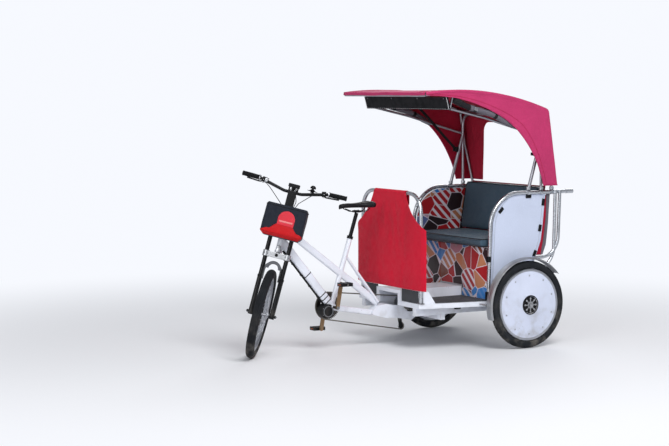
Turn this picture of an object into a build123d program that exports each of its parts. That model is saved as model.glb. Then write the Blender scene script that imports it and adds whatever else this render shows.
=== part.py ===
from build123d import *

import os
from math import atan2, asin, cos, degrees, hypot, pi, radians, sin, sqrt

# Cycle rickshaw. Millimetres, +Z up, the front faces -Y, the vehicle's own left is +X.
# The origin is on the ground under the middle of the whole vehicle.
# Distances along the vehicle are given from the rear axle, negative towards the front.

os.makedirs("parts", exist_ok=True)

# Wheels
WHEEL_R = 314.0
TYRE_R = 30.0
RIM_R = 258.0
RIM_DEPTH = 19.0
RIM_WIDTH = 36.0
SPOKE_COUNT = 28
SPOKE_R = 1.6
TRACK = 1210.0
WHEELBASE = 1863.0
AXLE_Y = 782.0
FIT = 0.3
BEARING_FIT = 0.05

# Rear hub, spindle and wheel cover
SPINDLE_R = 9.0
REAR_HUB_R = 24.0
REAR_HUB_HALF = 36.0
COVER_HOLE_R = 64.0
COVER_R = 247.0
COVER_T = 2.5

# Steering
HEAD_ANGLE = 17.0
STEER_ANGLE = 55.0
FORK_RAKE = 42.0
FORK_LEG_X = 75.5
FORK_LEG_R = 17.0
STANCHION_R = 15.0
CROWN_CLAMP_R = 23.0
ARCH_LOW_Z = 236.0
ARCH_HIGH_Z = 300.0
ARCH_W = 16.0
FORK_AXLE_R = 5.0
FRONT_HUB_R = 17.0
FRONT_HUB_HALF = 50.0
LOWER_CROWN_Z = 398.0
UPPER_CROWN_Z = 676.0
CROWN_T = 34.0
UPPER_CROWN_T = 26.0
STEERER_R = 14.0
HEAD_TUBE_R = 23.0
BAR_Z = 862.0
BAR_RISE = 46.0
BAR_REACH = 72.0
BAR_HALF = 368.0
BAR_R = 11.1
STEM_R = 15.0
STEM_FOOT_R = 19.0
STEM_FOOT_H = 46.0
GRIP_R = 16.0
GRIP_LENGTH = 125.0
BAG_WIDTH = 304.0
BAG_DEPTH = 132.0
BAG_HEIGHT = 224.0
BAG_Z = 530.0
BAG_BACK_Y = -96.0

# Bicycle half of the frame
CRANK_AHEAD = 1268.0
CRANK_Z = 314.0
CRANK_LENGTH = 172.0
CRANK_ANGLE = 10.0
CRANK_X = 88.0
CRANK_SPINDLE_R = 10.0
CRANK_W = 26.0
CRANK_T = 14.0
SPIDER_ARMS = 5
SPIDER_REACH = 76.0
SPIDER_W = 15.0
SPIDER_T = 6.0
PEDAL_OUT = 54.0
PEDAL_W = 76.0
PEDAL_L = 92.0
PEDAL_T = 22.0
PEDAL_PIN_R = 6.0
PEDAL_WINDOW_Y = 27.0
PEDAL_WINDOW_W = 22.0
BB_SHELL_R = 22.0
BB_SHELL_HALF = 36.0
MOTOR_R = 52.0
MOTOR_HALF = 42.0
SEAT_TUBE_R = 18.0
SEAT_TUBE_TILT = 17.7
SEAT_TUBE_LENGTH = 498.0
POST_LENGTH = 190.0
TOP_TUBE_SLOPE = 36.8
TOP_TUBE_W = 34.0
TOP_TUBE_D = 50.0
DOWN_TUBE_W = 42.0
DOWN_TUBE_D = 62.0
LOW_TUBE_W = 36.0
LOW_TUBE_D = 40.0
THIN_STAY_R = 8.5
BOOM_HALF = 35.0
CHAIN_X = -50.0
CHAIN_PITCH = 12.7
CHAIN_WIDTH = 7.4
CHAIN_HEIGHT = 8.4
SPROCKET_T = 2.2
TOOTH_SLOT = 3.2
RING_TEETH = 48
COG_TEETH = 24
JOCKEY_TEETH = 11
STACK_TEETH = (30, 28, COG_TEETH, 20, 16)
JACKSHAFT_AHEAD = 655.0
JACKSHAFT_Z = 298.0
JACKSHAFT_R = 9.0
COG_PITCH = 5.2

# Cabin floor
RAIL_TOP_Z = 341.0
RAIL_H = 34.0
RAIL_W = 34.0
FLOOR_FRONT_AHEAD = 773.0
FLOOR_FRONT_X = 400.0
RAIL_END_AHEAD = 40.0
UNDER_X = 340.0
UNDER_W = 40.0
UNDER_H = 54.0
UNDER_END = 240.0
CROSS_AHEAD = 560.0
CROSS_W = 36.0
CROSS_H = 40.0
REAR_MEMBER_Y = 125.0
HAT_X = 142.0
HAT_Z = 415.0
FLOOR_T = 6.0
AXLE_PLATE_T = 8.0

# Cabin sides and seat
SEAT_FRONT_AHEAD = 240.0
SIDE_X = 490.0
LOOP_R = 14.0
LOOP_BEND = 243.0
STAY_R = 12.0
LOOP_FOOT_AHEAD = 258.0
ARM_Z = 1105.0
ARM_END = 488.0
HOOP_X = 385.0
HOOP_AHEAD = 765.0
HOOP_TOP_Z = 1112.0
HOOP_BEND = 140.0
HOOP_R = 14.0
APRON_T = 8.0
APRON_HALF = 452.0
APRON_LOW_Z = 436.0
APRON_CORNER_Z = 864.0
APRON_TOP_HALF = 203.0
KICK_TOP_Z = 430.0
KICK_T = 3.0
KICK_AHEAD = 778.0
GUSSET_T = 5.0
GUSSET_TOP = 37.0
GUSSET_FOOT = 93.0
ARM_CAP_R = 15.5
ARM_CAP_LENGTH = 60.0
SEAT_HALF = 452.0
SEAT_Z = 722.0
SEAT_BOARD_T = 12.0
CUSHION_T = 62.0
CUSHION_OVERHANG = 62.0
BACK_TOP_Z = 1146.0
BACK_T = 60.0
BACK_LEAN = 9.4
BACK_FOOT_Y = 204.0
BACK_BOARD_T = 8.0
SIDE_SHEET_T = 4.0
FENDER_R = 328.0
FENDER_T = 2.5
FENDER_FROM = 39.0
FENDER_ARC = 157.0
FENDER_STAY_R = 5.0

# Hood
HOOD_X = 550.0
HOOD_T = 6.0
BOW_R = 10.0
HOOP2_R = 12.0
HOOD_FRONT = (-847.0, 1823.0)
HOOD_CROWN = (-382.0, 1834.0)
HOOD_CORNER = (227.0, 1700.0)
HOOD_FOOT = (311.0, 1157.0)
CANOPY_HOOP_Y = 199.0
CANOPY_HOOP_Z = 1660.0
KNEE_Z = 1500.0
SIGN_HALF = 542.0
SIGN_AHEAD = 626.0
SIGN_Z = 1703.0
SIGN_H = 88.0
SIGN_T = 12.0
ROLL_R = 22.0
RAIL_X = 488.0
BUNDLE_T = 30.0

# Cables
CABLE_R = 2.5
CABLE_BEND = 24.0
LOOM_R = 4.0
LOOM_GAP = 6.0
LOOM_CLIPS = 5

# Steering axis frame: x along the wheel's axle to the left, y to the rear, z up the axis.
head = radians(HEAD_ANGLE)
steer = radians(STEER_ANGLE)
axle_lean = sin(head) * sin(steer)
hub_z = (WHEEL_R - TYRE_R) * sqrt(1 - axle_lean**2) + TYRE_R
STEER = Plane(
    origin=(0, AXLE_Y - WHEELBASE + FORK_RAKE * cos(head), hub_z - FORK_RAKE * sin(head) * cos(steer)),
    x_dir=(cos(steer), cos(head) * sin(steer), -sin(head) * sin(steer)),
    z_dir=(0, sin(head), cos(head)),
)


def at(behind):
    """The Y of a point that far behind the rear axle."""
    return AXLE_Y + behind


def steered(x, y, z):
    """A point of the steering frame, in the vehicle's frame."""
    return STEER.from_local_coords(Vector(x, y, z))


def steered_plane(x, y, z):
    """A plane square to the steering axis."""
    return Plane(origin=steered(x, y, z), x_dir=STEER.x_dir, z_dir=STEER.z_dir)


def steered_side(x, y, z):
    """A plane square to the front wheel's axle, with its x up the steering axis."""
    return Plane(origin=steered(x, y, z), x_dir=STEER.z_dir, z_dir=STEER.x_dir)


def save(builder, name):
    """Labels a finished piece and writes it."""
    builder.part.label = name
    export_step(builder.part, f"parts/{name}.step")


def rod(start, end, radius, mode=Mode.ADD):
    """A straight round bar, added to the open part or cut from it."""
    run = Vector(*end) - Vector(*start)
    with BuildSketch(Plane(origin=Vector(*start), z_dir=run)) as section:
        Circle(radius)
    extrude(section.sketch, amount=run.length, mode=mode)


def member(start, end, width, depth, corner, mode=Mode.ADD):
    """A straight bar of rounded rectangular section, its width across the vehicle."""
    run = Vector(*end) - Vector(*start)
    with BuildSketch(Plane(origin=Vector(*start), x_dir=(1, 0, 0), z_dir=run)) as section:
        RectangleRounded(width, depth, corner)
    extrude(section.sketch, amount=run.length, mode=mode)


def bent_tube(points, bends, radius):
    """A round tube along straight runs joined by tangent arcs, added to the open part."""
    with BuildLine() as path:
        FilletPolyline(*points, radius=bends)
    with BuildSketch(Plane(origin=path.line @ 0, z_dir=path.line % 0)) as section:
        Circle(radius)
    sweep(section.sketch, path=path.line)


def plate_yz(outline, x, thickness):
    """A flat plate square to X, from x towards +X, its outline in (y, z)."""
    with BuildSketch(Plane.YZ.offset(x)) as section:
        with BuildLine():
            Polyline(*outline, close=True)
        make_face()
    extrude(section.sketch, amount=thickness)


# Wheels: a box-section rim, a flanged hub and crossed spokes

def wheel_frame(name):
    """The plane at a wheel's centre, its z along the axle to the wheel's outer side."""
    if name == "front":
        return Plane(origin=steered(0, -FORK_RAKE, 0), x_dir=STEER.z_dir, z_dir=STEER.x_dir)
    side = 1 if name == "left" else -1
    return Plane(origin=(side * TRACK / 2, AXLE_Y, WHEEL_R), x_dir=(0, 0, 1), z_dir=(side, 0, 0))


def section_plane(frame):
    """A plane through a wheel's axle: its x is the radius, its y is the axle."""
    return Plane(origin=frame.origin, x_dir=frame.x_dir, z_dir=frame.x_dir.cross(frame.z_dir))


def add_rim(frame):
    with BuildSketch(section_plane(frame)) as section:
        with Locations((RIM_R - RIM_DEPTH / 2, 0)):
            Rectangle(RIM_DEPTH, RIM_WIDTH)
        chamfer(section.vertices().group_by(Axis(frame.origin, frame.x_dir))[0], 6)
    revolve(section.sketch, axis=Axis(frame.origin, frame.z_dir))


def add_hub(frame, hub_r, half, bore_r):
    flange = hub_r + 12
    with BuildSketch(section_plane(frame)) as section:
        with BuildLine():
            Polyline(
                (bore_r, -half),
                (hub_r - 4, -half),
                (hub_r - 4, -half + 6),
                (flange, -half + 6),
                (flange, -half + 10),
                (hub_r - 8, -half + 16),
                (hub_r - 8, half - 16),
                (flange, half - 10),
                (flange, half - 6),
                (hub_r - 4, half - 6),
                (hub_r - 4, half),
                (bore_r, half),
                close=True,
            )
        make_face()
    revolve(section.sketch, axis=Axis(frame.origin, frame.z_dir))


def add_spokes(frame, hub_r, half):
    """Spokes from both flanges, each leaning a quarter turn of the hub, crossed in pairs."""
    flange_r = hub_r + 8
    flange_z = half - 8
    rim_r = RIM_R - RIM_DEPTH + 2
    for number in range(SPOKE_COUNT):
        turn = 2 * pi * number / SPOKE_COUNT
        lean = radians(52) * (1 if number % 4 < 2 else -1)
        side = 1 if number % 2 == 0 else -1
        inner = (flange_r * cos(turn + lean), flange_r * sin(turn + lean), side * flange_z)
        outer = (rim_r * cos(turn), rim_r * sin(turn), side * 3)
        rod(frame.from_local_coords(Vector(*inner)), frame.from_local_coords(Vector(*outer)), SPOKE_R)


with BuildPart() as front_wheel:
    add_rim(wheel_frame("front"))
    add_hub(wheel_frame("front"), FRONT_HUB_R, FRONT_HUB_HALF, FORK_AXLE_R + BEARING_FIT)
    add_spokes(wheel_frame("front"), FRONT_HUB_R, FRONT_HUB_HALF)
save(front_wheel, "front_wheel")

for side_name in ("left", "right"):
    with BuildPart() as rear_wheel:
        add_rim(wheel_frame(side_name))
        add_hub(wheel_frame(side_name), REAR_HUB_R, REAR_HUB_HALF, SPINDLE_R + BEARING_FIT)
        add_spokes(wheel_frame(side_name), REAR_HUB_R, REAR_HUB_HALF)
    save(rear_wheel, f"rear_wheel_{side_name}")

for wheel_name in ("front", "left", "right"):
    frame = wheel_frame(wheel_name)
    with BuildPart() as tyre:
        with BuildSketch(section_plane(frame)) as section:
            with Locations((WHEEL_R - TYRE_R, 0)):
                Circle(TYRE_R)
            with Locations((0, 0)):
                Rectangle(2 * (RIM_R + FIT), 4 * TYRE_R, mode=Mode.SUBTRACT)
        revolve(axis=Axis(frame.origin, frame.z_dir))
    save(tyre, "front_tyre" if wheel_name == "front" else f"rear_tyre_{wheel_name}")

for side_name in ("left", "right"):
    frame = wheel_frame(side_name)
    seat = RIM_WIDTH / 2 + FIT
    crown = REAR_HUB_HALF + 1
    with BuildPart() as wheel_cover:
        with BuildSketch(section_plane(frame)) as section:
            with BuildLine():
                Polyline(
                    (COVER_HOLE_R, crown),
                    (RIM_R - RIM_DEPTH, seat),
                    (COVER_R, seat),
                    (COVER_R, seat + COVER_T),
                    (RIM_R - RIM_DEPTH, seat + COVER_T),
                    (COVER_HOLE_R, crown + COVER_T),
                    close=True,
                )
            make_face()
        revolve(axis=Axis(frame.origin, frame.z_dir))
    save(wheel_cover, f"wheel_cover_{side_name}")

# Rear axle: one beam with a spindle at each end, bearing blocks and the gear case
BEAM_R = 20.0
BEAM_HALF = TRACK / 2 - REAR_HUB_HALF - 6
BEARING_TOP = 352.0
GEAR_CASE_X = 84.0
GEAR_CASE_HALF = 18.0
GEAR_CASE_R = 52.0
SPINDLE_END = TRACK / 2 + REAR_HUB_HALF + 8

with BuildPart() as rear_axle:
    rod((-SPINDLE_END, at(0), WHEEL_R), (SPINDLE_END, at(0), WHEEL_R), SPINDLE_R)
    rod((-BEAM_HALF, at(0), WHEEL_R), (BEAM_HALF, at(0), WHEEL_R), BEAM_R)
    case_from = GEAR_CASE_X - GEAR_CASE_HALF
    case_to = GEAR_CASE_X + GEAR_CASE_HALF
    rod((case_from, at(0), WHEEL_R), (case_to, at(0), WHEEL_R), GEAR_CASE_R)
    for side in (-1, 1):
        with BuildSketch(Plane.XY.offset(RAIL_TOP_Z - RAIL_H + FIT)):
            with Locations((side * UNDER_X, at(0))):
                RectangleRounded(44, 74, 6)
        extrude(amount=BEARING_TOP - RAIL_TOP_Z + RAIL_H)
        with Locations(Location((side * (SPINDLE_END + 1), at(0), WHEEL_R), (0, 90, 0))):
            Cylinder(SPINDLE_R + 6, 12)
save(rear_axle, "rear_axle")

# Steering: fork, bar, grips, controls and bag
arch_out = FORK_LEG_X - 8
arch_in = arch_out - ARCH_W

with BuildPart() as fork:
    for side in (-1, 1):
        leg = side * FORK_LEG_X
        rod(steered(leg, -FORK_RAKE, -20), steered(leg, -FORK_RAKE, 250), FORK_LEG_R)
        leg_top = steered(leg, -FORK_RAKE, UPPER_CROWN_Z + UPPER_CROWN_T + 6)
        clamp_low = steered(leg, -FORK_RAKE, LOWER_CROWN_Z - 4)
        clamp_top = steered(leg, -FORK_RAKE, LOWER_CROWN_Z + CROWN_T + 4)
        rod(steered(leg, -FORK_RAKE, 240), leg_top, STANCHION_R)
        rod(clamp_low, clamp_top, CROWN_CLAMP_R)
        rod(steered(leg, -FORK_RAKE, 0), steered(leg + side * (FORK_LEG_R + 10), -FORK_RAKE, 0), 10)
    rod(steered(-FORK_LEG_X, -FORK_RAKE, 0), steered(FORK_LEG_X, -FORK_RAKE, 0), FORK_AXLE_R)
    for height, thickness in ((LOWER_CROWN_Z, CROWN_T), (UPPER_CROWN_Z, UPPER_CROWN_T)):
        with BuildSketch(steered_plane(0, 0, height)):
            with BuildLine():
                Polyline(
                    (-FORK_LEG_X, -FORK_RAKE - 20),
                    (FORK_LEG_X, -FORK_RAKE - 20),
                    (FORK_LEG_X, -FORK_RAKE + 20),
                    (24, 20),
                    (-24, 20),
                    (-FORK_LEG_X, -FORK_RAKE + 20),
                    close=True,
                )
            make_face()
        extrude(amount=thickness)
    rod(steered(0, 0, LOWER_CROWN_Z), steered(0, 0, UPPER_CROWN_Z + UPPER_CROWN_T + 14), STEERER_R)
    with BuildSketch(Plane(origin=steered(0, -FORK_RAKE - 8, 0), x_dir=STEER.x_dir, z_dir=-STEER.y_dir)):
        with BuildLine():
            Line((-arch_out, ARCH_LOW_Z), (-arch_out, ARCH_HIGH_Z))
            RadiusArc((-arch_out, ARCH_HIGH_Z), (arch_out, ARCH_HIGH_Z), arch_out)
            Line((arch_out, ARCH_HIGH_Z), (arch_out, ARCH_LOW_Z))
            Line((arch_out, ARCH_LOW_Z), (arch_in, ARCH_LOW_Z))
            Line((arch_in, ARCH_LOW_Z), (arch_in, ARCH_HIGH_Z))
            RadiusArc((arch_in, ARCH_HIGH_Z), (-arch_in, ARCH_HIGH_Z), -arch_in)
            Line((-arch_in, ARCH_HIGH_Z), (-arch_in, ARCH_LOW_Z))
            Line((-arch_in, ARCH_LOW_Z), (-arch_out, ARCH_LOW_Z))
        make_face()
    extrude(amount=ARCH_W)
save(fork, "fork")

STEM_FOOT_Z = UPPER_CROWN_Z + UPPER_CROWN_T + FIT
bar_points = [
    steered(-BAR_HALF, -BAR_REACH + 16, BAR_Z + BAR_RISE + 4),
    steered(-BAR_HALF + 120, -BAR_REACH, BAR_Z + BAR_RISE),
    steered(-60, -BAR_REACH, BAR_Z),
    steered(60, -BAR_REACH, BAR_Z),
    steered(BAR_HALF - 120, -BAR_REACH, BAR_Z + BAR_RISE),
    steered(BAR_HALF, -BAR_REACH + 16, BAR_Z + BAR_RISE + 4),
]
with BuildPart() as handlebar:
    bent_tube(bar_points, 90, BAR_R)
    rod(steered(0, 0, STEM_FOOT_Z), steered(0, 0, STEM_FOOT_Z + STEM_FOOT_H), STEM_FOOT_R)
    with BuildSketch(steered_plane(0, 0, STEM_FOOT_Z + 14 - FIT)):
        Circle(STEERER_R + FIT)
    extrude(amount=-30, mode=Mode.SUBTRACT)
    rod(steered(0, 0, STEM_FOOT_Z + 30), steered(0, -BAR_REACH, BAR_Z), STEM_R)
    rod(steered(-24, -BAR_REACH, BAR_Z), steered(24, -BAR_REACH, BAR_Z), 20)
    with BuildSketch(steered_plane(0, BAG_BACK_Y + FIT + 4, BAG_Z + BAG_HEIGHT - 70)):
        Rectangle(60, 8)
    extrude(amount=BAR_Z - BAG_Z - BAG_HEIGHT + 70)
save(handlebar, "handlebar")

with BuildPart() as grips:
    for side in (-1, 1):
        inner = steered(side * (BAR_HALF - GRIP_LENGTH + 5), -BAR_REACH + 1, BAR_Z + BAR_RISE)
        outer = steered(side * (BAR_HALF + 4), -BAR_REACH + 16.5, BAR_Z + BAR_RISE + 4)
        rod(inner, outer, GRIP_R)
    with BuildLine() as bar_path:
        FilletPolyline(*bar_points, radius=90)
    with BuildSketch(Plane(origin=bar_path.line @ 0, z_dir=bar_path.line % 0)) as bore:
        Circle(BAR_R + FIT)
    sweep(bore.sketch, path=bar_path.line, mode=Mode.SUBTRACT)
save(grips, "grips")

LEVER_X = BAR_HALF - GRIP_LENGTH - 26
LEVER_CLAMP_R = 19.0
DISPLAY_RISE = 24.0
BELL_X = 130.0
with BuildPart() as bar_controls:
    for side in (-1, 1):
        near = steered(side * (LEVER_X - 18), -BAR_REACH, BAR_Z + BAR_RISE - 9)
        far = steered(side * (LEVER_X + 10), -BAR_REACH, BAR_Z + BAR_RISE - 3)
        rod(near, far, LEVER_CLAMP_R)
        bent_tube(
            [
                steered(side * (LEVER_X - 6), -BAR_REACH - 16, BAR_Z + BAR_RISE - 12),
                steered(side * (LEVER_X + 14), -BAR_REACH - 52, BAR_Z + BAR_RISE - 30),
                steered(side * (LEVER_X + 110), -BAR_REACH - 48, BAR_Z + BAR_RISE - 24),
            ],
            18,
            5,
        )
    with BuildSketch(steered_plane(0, -BAR_REACH - 4, BAR_Z + BAR_R + DISPLAY_RISE)):
        RectangleRounded(78, 50, 8)
    extrude(amount=22)
    for side in (-1, 1):
        with BuildSketch(steered_plane(side * 30, -BAR_REACH, BAR_Z + BAR_R - 4)):
            RectangleRounded(9, 20, 3)
        extrude(amount=30)
    with BuildSketch(steered_plane(BELL_X, -BAR_REACH - 4, BAR_Z + BAR_R + 18)):
        Circle(13)
    extrude(amount=14)
    with BuildSketch(steered_side(BELL_X, -BAR_REACH - 4, BAR_Z + BAR_R + 30)) as bell_cup:
        with BuildLine():
            Line((0, 0), (30, 0))
            RadiusArc((30, 0), (0, 38), 40)
            Line((0, 38), (0, 0))
        make_face()
    revolve(bell_cup.sketch, axis=Axis(steered(BELL_X, -BAR_REACH - 4, 0), STEER.z_dir))
    with BuildLine() as bar_path:
        FilletPolyline(*bar_points, radius=90)
    with BuildSketch(Plane(origin=bar_path.line @ 0, z_dir=bar_path.line % 0)) as bore:
        Circle(BAR_R + FIT)
    sweep(bore.sketch, path=bar_path.line, mode=Mode.SUBTRACT)
save(bar_controls, "bar_controls")

cable_ends = [
    [(199, -84, 886), (140, -128, 868), (62, -118, 792), (30, -40, 738), (14, -8, 730)],
    [(-199, -84, 886), (-150, -122, 850), (-70, -112, 778), (-34, -44, 742), (-14, -8, 731)],
    [(24, -96, BAR_Z + BAR_R + DISPLAY_RISE - CABLE_R), (24, -116, 862), (44, -114, 800), (24, -32, 745), (8, -12, 736)],
]
with BuildPart() as control_cables:
    for run in cable_ends:
        bent_tube([steered(*point) for point in run], CABLE_BEND, CABLE_R)
    foot_top = steered(0, 0, STEM_FOOT_Z + STEM_FOOT_H + 2)
    rod(steered(0, 0, STEM_FOOT_Z - 2), foot_top, STEM_FOOT_R + FIT, mode=Mode.SUBTRACT)
    rod(steered(0, 0, STEM_FOOT_Z + 30), steered(0, -BAR_REACH, BAR_Z), STEM_R + FIT, mode=Mode.SUBTRACT)
    for side in (-1, 1):
        near = steered(side * (LEVER_X - 18), -BAR_REACH, BAR_Z + BAR_RISE - 9)
        far = steered(side * (LEVER_X + 10), -BAR_REACH, BAR_Z + BAR_RISE - 3)
        rod(near, far, LEVER_CLAMP_R + FIT, mode=Mode.SUBTRACT)
save(control_cables, "control_cables")

with BuildPart() as handlebar_bag:
    with BuildSketch(steered_plane(0, BAG_BACK_Y - BAG_DEPTH / 2, BAG_Z)):
        RectangleRounded(BAG_WIDTH, BAG_DEPTH, 24)
    extrude(amount=BAG_HEIGHT)
    chamfer(handlebar_bag.faces().sort_by(Axis(STEER.origin, STEER.z_dir))[0].edges(), 22)
save(handlebar_bag, "handlebar_bag")

# Bicycle frame: head tube, top and down tubes, seat tube, stays and bottom bracket shell
bb = (0, at(-CRANK_AHEAD), CRANK_Z)
tilt = radians(SEAT_TUBE_TILT)
seat_top = (0, bb[1] + SEAT_TUBE_LENGTH * sin(tilt), bb[2] + SEAT_TUBE_LENGTH * cos(tilt))
HEAD_TUBE_LOW = LOWER_CROWN_Z + CROWN_T + 6
HEAD_TUBE_HIGH = UPPER_CROWN_Z - 6
down_tube_head = steered(0, 0, HEAD_TUBE_LOW + 86)
top_tube_head = steered(0, 0, HEAD_TUBE_HIGH - 58)
BOOM_NOSE = -945.0
TOP_TUBE_END = -888.0
top_tube_fall = (at(TOP_TUBE_END) - top_tube_head.Y) * sin(radians(TOP_TUBE_SLOPE)) / cos(radians(TOP_TUBE_SLOPE))
top_tube_end = (0, at(TOP_TUBE_END), top_tube_head.Z - top_tube_fall)
low_tube_start = (0, bb[1] + 10, bb[2] - 6)
low_tube_end = (0, at(BOOM_NOSE), 252)
thin_stay_top = (0, bb[1] + 0.76 * SEAT_TUBE_LENGTH * sin(tilt), bb[2] + 0.76 * SEAT_TUBE_LENGTH * cos(tilt))

with BuildPart() as bike_frame:
    rod(steered(0, 0, HEAD_TUBE_LOW), steered(0, 0, HEAD_TUBE_HIGH), HEAD_TUBE_R)
    for collar in (HEAD_TUBE_LOW, HEAD_TUBE_HIGH - 14):
        rod(steered(0, 0, collar), steered(0, 0, collar + 14), HEAD_TUBE_R + 3.5)
    member(down_tube_head, bb, DOWN_TUBE_W, DOWN_TUBE_D, 14)
    member(top_tube_head, top_tube_end, TOP_TUBE_W, TOP_TUBE_D, 12)
    rod(bb, seat_top, SEAT_TUBE_R)
    for side in (-1, 1):
        rod(thin_stay_top, (side * 22, at(TOP_TUBE_END), top_tube_end[2] + 6), THIN_STAY_R)
    rod((-BB_SHELL_HALF, bb[1], bb[2]), (BB_SHELL_HALF, bb[1], bb[2]), BB_SHELL_R)
    member(low_tube_start, low_tube_end, LOW_TUBE_W, LOW_TUBE_D, 9)
    with BuildSketch(steered_plane(0, 0, HEAD_TUBE_LOW)):
        Circle(STEERER_R + BEARING_FIT)
    extrude(amount=HEAD_TUBE_HIGH - HEAD_TUBE_LOW, mode=Mode.SUBTRACT)
    with Locations(Location(bb, (0, 90, 0))):
        Cylinder(CRANK_SPINDLE_R + BEARING_FIT, 2 * BB_SHELL_HALF, mode=Mode.SUBTRACT)
    seat_up = Vector(0, sin(tilt), cos(tilt))
    post_mouth = Plane(origin=Vector(*seat_top), z_dir=seat_up)
    with BuildSketch(post_mouth):
        Circle(14)
    extrude(amount=-120, mode=Mode.SUBTRACT)
save(bike_frame, "bike_frame")

# Boom: a tapered welded box that ties the bicycle half to the cabin floor
boom_profile = [
    (at(BOOM_NOSE) + FIT, 238),
    (at(BOOM_NOSE) + FIT, 264),
    (at(-905), 300),
    (at(-825), 308),
    (at(-736), 292),
    (at(-621), 268),
    (at(-CROSS_AHEAD - CROSS_W / 2) - FIT, 250),
    (at(-CROSS_AHEAD - CROSS_W / 2) - FIT, 200),
    (at(-615), 177),
    (at(-736), 201),
    (at(-824), 205),
]
with BuildPart() as boom:
    plate_yz(boom_profile, -BOOM_HALF, 2 * BOOM_HALF)
    fillet(boom.edges().filter_by(Axis.X), 5)
    member(top_tube_head, top_tube_end, TOP_TUBE_W + 2 * FIT, TOP_TUBE_D + 2 * FIT, 12, mode=Mode.SUBTRACT)
    member(low_tube_start, low_tube_end, LOW_TUBE_W + 2 * FIT, LOW_TUBE_D + 2 * FIT, 9, mode=Mode.SUBTRACT)
    for side in (-1, 1):
        lug_side = Plane.YZ.offset(side * (BOOM_HALF - 6) - 6)
        with BuildSketch(lug_side):
            with Locations((at(-JACKSHAFT_AHEAD), JACKSHAFT_Z)):
                Circle(18)
            with Locations((at(-JACKSHAFT_AHEAD), JACKSHAFT_Z - 18)):
                Rectangle(36, 36)
        extrude(amount=12)
    with Locations(Location((0, at(-JACKSHAFT_AHEAD), JACKSHAFT_Z), (0, 90, 0))):
        Cylinder(JACKSHAFT_R + BEARING_FIT, 4 * BOOM_HALF, mode=Mode.SUBTRACT)
save(boom, "boom")

with BuildPart() as seat_post:
    rod(seat_top, tuple(Vector(*seat_top) + seat_up * POST_LENGTH), 13.6)
    rod(tuple(Vector(*seat_top) - seat_up * 110), seat_top, 13.6)
    with BuildSketch(post_mouth.offset(FIT)):
        Circle(SEAT_TUBE_R + 4)
    extrude(amount=20)
save(seat_post, "seat_post")

saddle_z = seat_top[2] + POST_LENGTH * cos(tilt)
saddle_y = seat_top[1] + POST_LENGTH * sin(tilt)
SADDLE_NOSE = -1204.0
SADDLE_TAIL = -930.0
SADDLE_TOP = 1048.0
SADDLE_HALF = 78.0
SADDLE_NOSE_HALF = 18.0
SADDLE_WAIST_HALF = 24.0
SADDLE_T = 50.0
nose_y = at(SADDLE_NOSE) + SADDLE_NOSE_HALF
waist_y = at(SADDLE_NOSE) + 110
wide_y = at(SADDLE_TAIL) - 70
with BuildPart() as saddle:
    with BuildSketch(Plane.XY.offset(SADDLE_TOP - SADDLE_T - 2)):
        with BuildLine():
            Line((SADDLE_NOSE_HALF, nose_y), (SADDLE_WAIST_HALF, waist_y))
            Line((SADDLE_WAIST_HALF, waist_y), (SADDLE_HALF, wide_y))
            ThreePointArc((SADDLE_HALF, wide_y), (0, at(SADDLE_TAIL)), (-SADDLE_HALF, wide_y))
            Line((-SADDLE_HALF, wide_y), (-SADDLE_WAIST_HALF, waist_y))
            Line((-SADDLE_WAIST_HALF, waist_y), (-SADDLE_NOSE_HALF, nose_y))
            ThreePointArc((-SADDLE_NOSE_HALF, nose_y), (0, at(SADDLE_NOSE)), (SADDLE_NOSE_HALF, nose_y))
        make_face()
    extrude(amount=SADDLE_T)
    chamfer(saddle.faces().sort_by(Axis.Z)[-1].edges(), 7)
    for side in (-1, 1):
        bent_tube(
            [
                (side * 14, at(SADDLE_NOSE) + 50, SADDLE_TOP - 50),
                (side * 20, at(SADDLE_NOSE) + 100, saddle_z + 12),
                (side * 22, at(SADDLE_TAIL) - 80, saddle_z + 12),
                (side * 34, at(SADDLE_TAIL) - 40, SADDLE_TOP - 50),
            ],
            14,
            3.5,
        )
    with BuildSketch(Plane.XY.offset(saddle_z + FIT + 4)):
        with Locations((0, saddle_y)):
            RectangleRounded(52, 44, 8)
    extrude(amount=14)
save(saddle, "saddle")

motor_at = (at(-1314), 286)
with BuildPart() as motor:
    rod((-MOTOR_HALF, *motor_at), (MOTOR_HALF, *motor_at), MOTOR_R)
    chamfer(motor.edges().filter_by(GeomType.CIRCLE), 8)
    with Locations(Location(bb, (0, 90, 0))):
        Cylinder(BB_SHELL_R + FIT, 4 * MOTOR_HALF, mode=Mode.SUBTRACT)
    member(down_tube_head, bb, DOWN_TUBE_W + 2 * FIT, DOWN_TUBE_D + 2 * FIT, 14, mode=Mode.SUBTRACT)
    member(low_tube_start, low_tube_end, LOW_TUBE_W + 2 * FIT, LOW_TUBE_D + 2 * FIT, 9, mode=Mode.SUBTRACT)
    rod(bb, seat_top, SEAT_TUBE_R + FIT, mode=Mode.SUBTRACT)
save(motor, "motor")

down_run = (Vector(*bb) - Vector(*down_tube_head)).normalized()
down_length = (Vector(*bb) - Vector(*down_tube_head)).length
down_face = Vector(0, down_run.Z, -down_run.Y) * (DOWN_TUBE_D / 2 + FIT + LOOM_R + 1)
with BuildPart() as down_tube_cables:
    for side in (-1, 1):
        rail_start = Vector(*down_tube_head) + down_run * 64 + down_face + Vector(side * LOOM_GAP, 0, 0)
        rail_end = Vector(*bb) - down_run * 40 + down_face + Vector(side * LOOM_GAP, 0, 0)
        rod(rail_start, rail_end, LOOM_R)
    for number in range(LOOM_CLIPS):
        place = 84 + number * (down_length - 210) / (LOOM_CLIPS - 1)
        clip = Vector(*down_tube_head) + down_run * place + down_face
        member(clip - down_run * 6, clip + down_run * 6, 30, 2 * LOOM_R + 2, 3)
    rod((-MOTOR_HALF, *motor_at), (MOTOR_HALF, *motor_at), MOTOR_R + FIT, mode=Mode.SUBTRACT)
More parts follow.
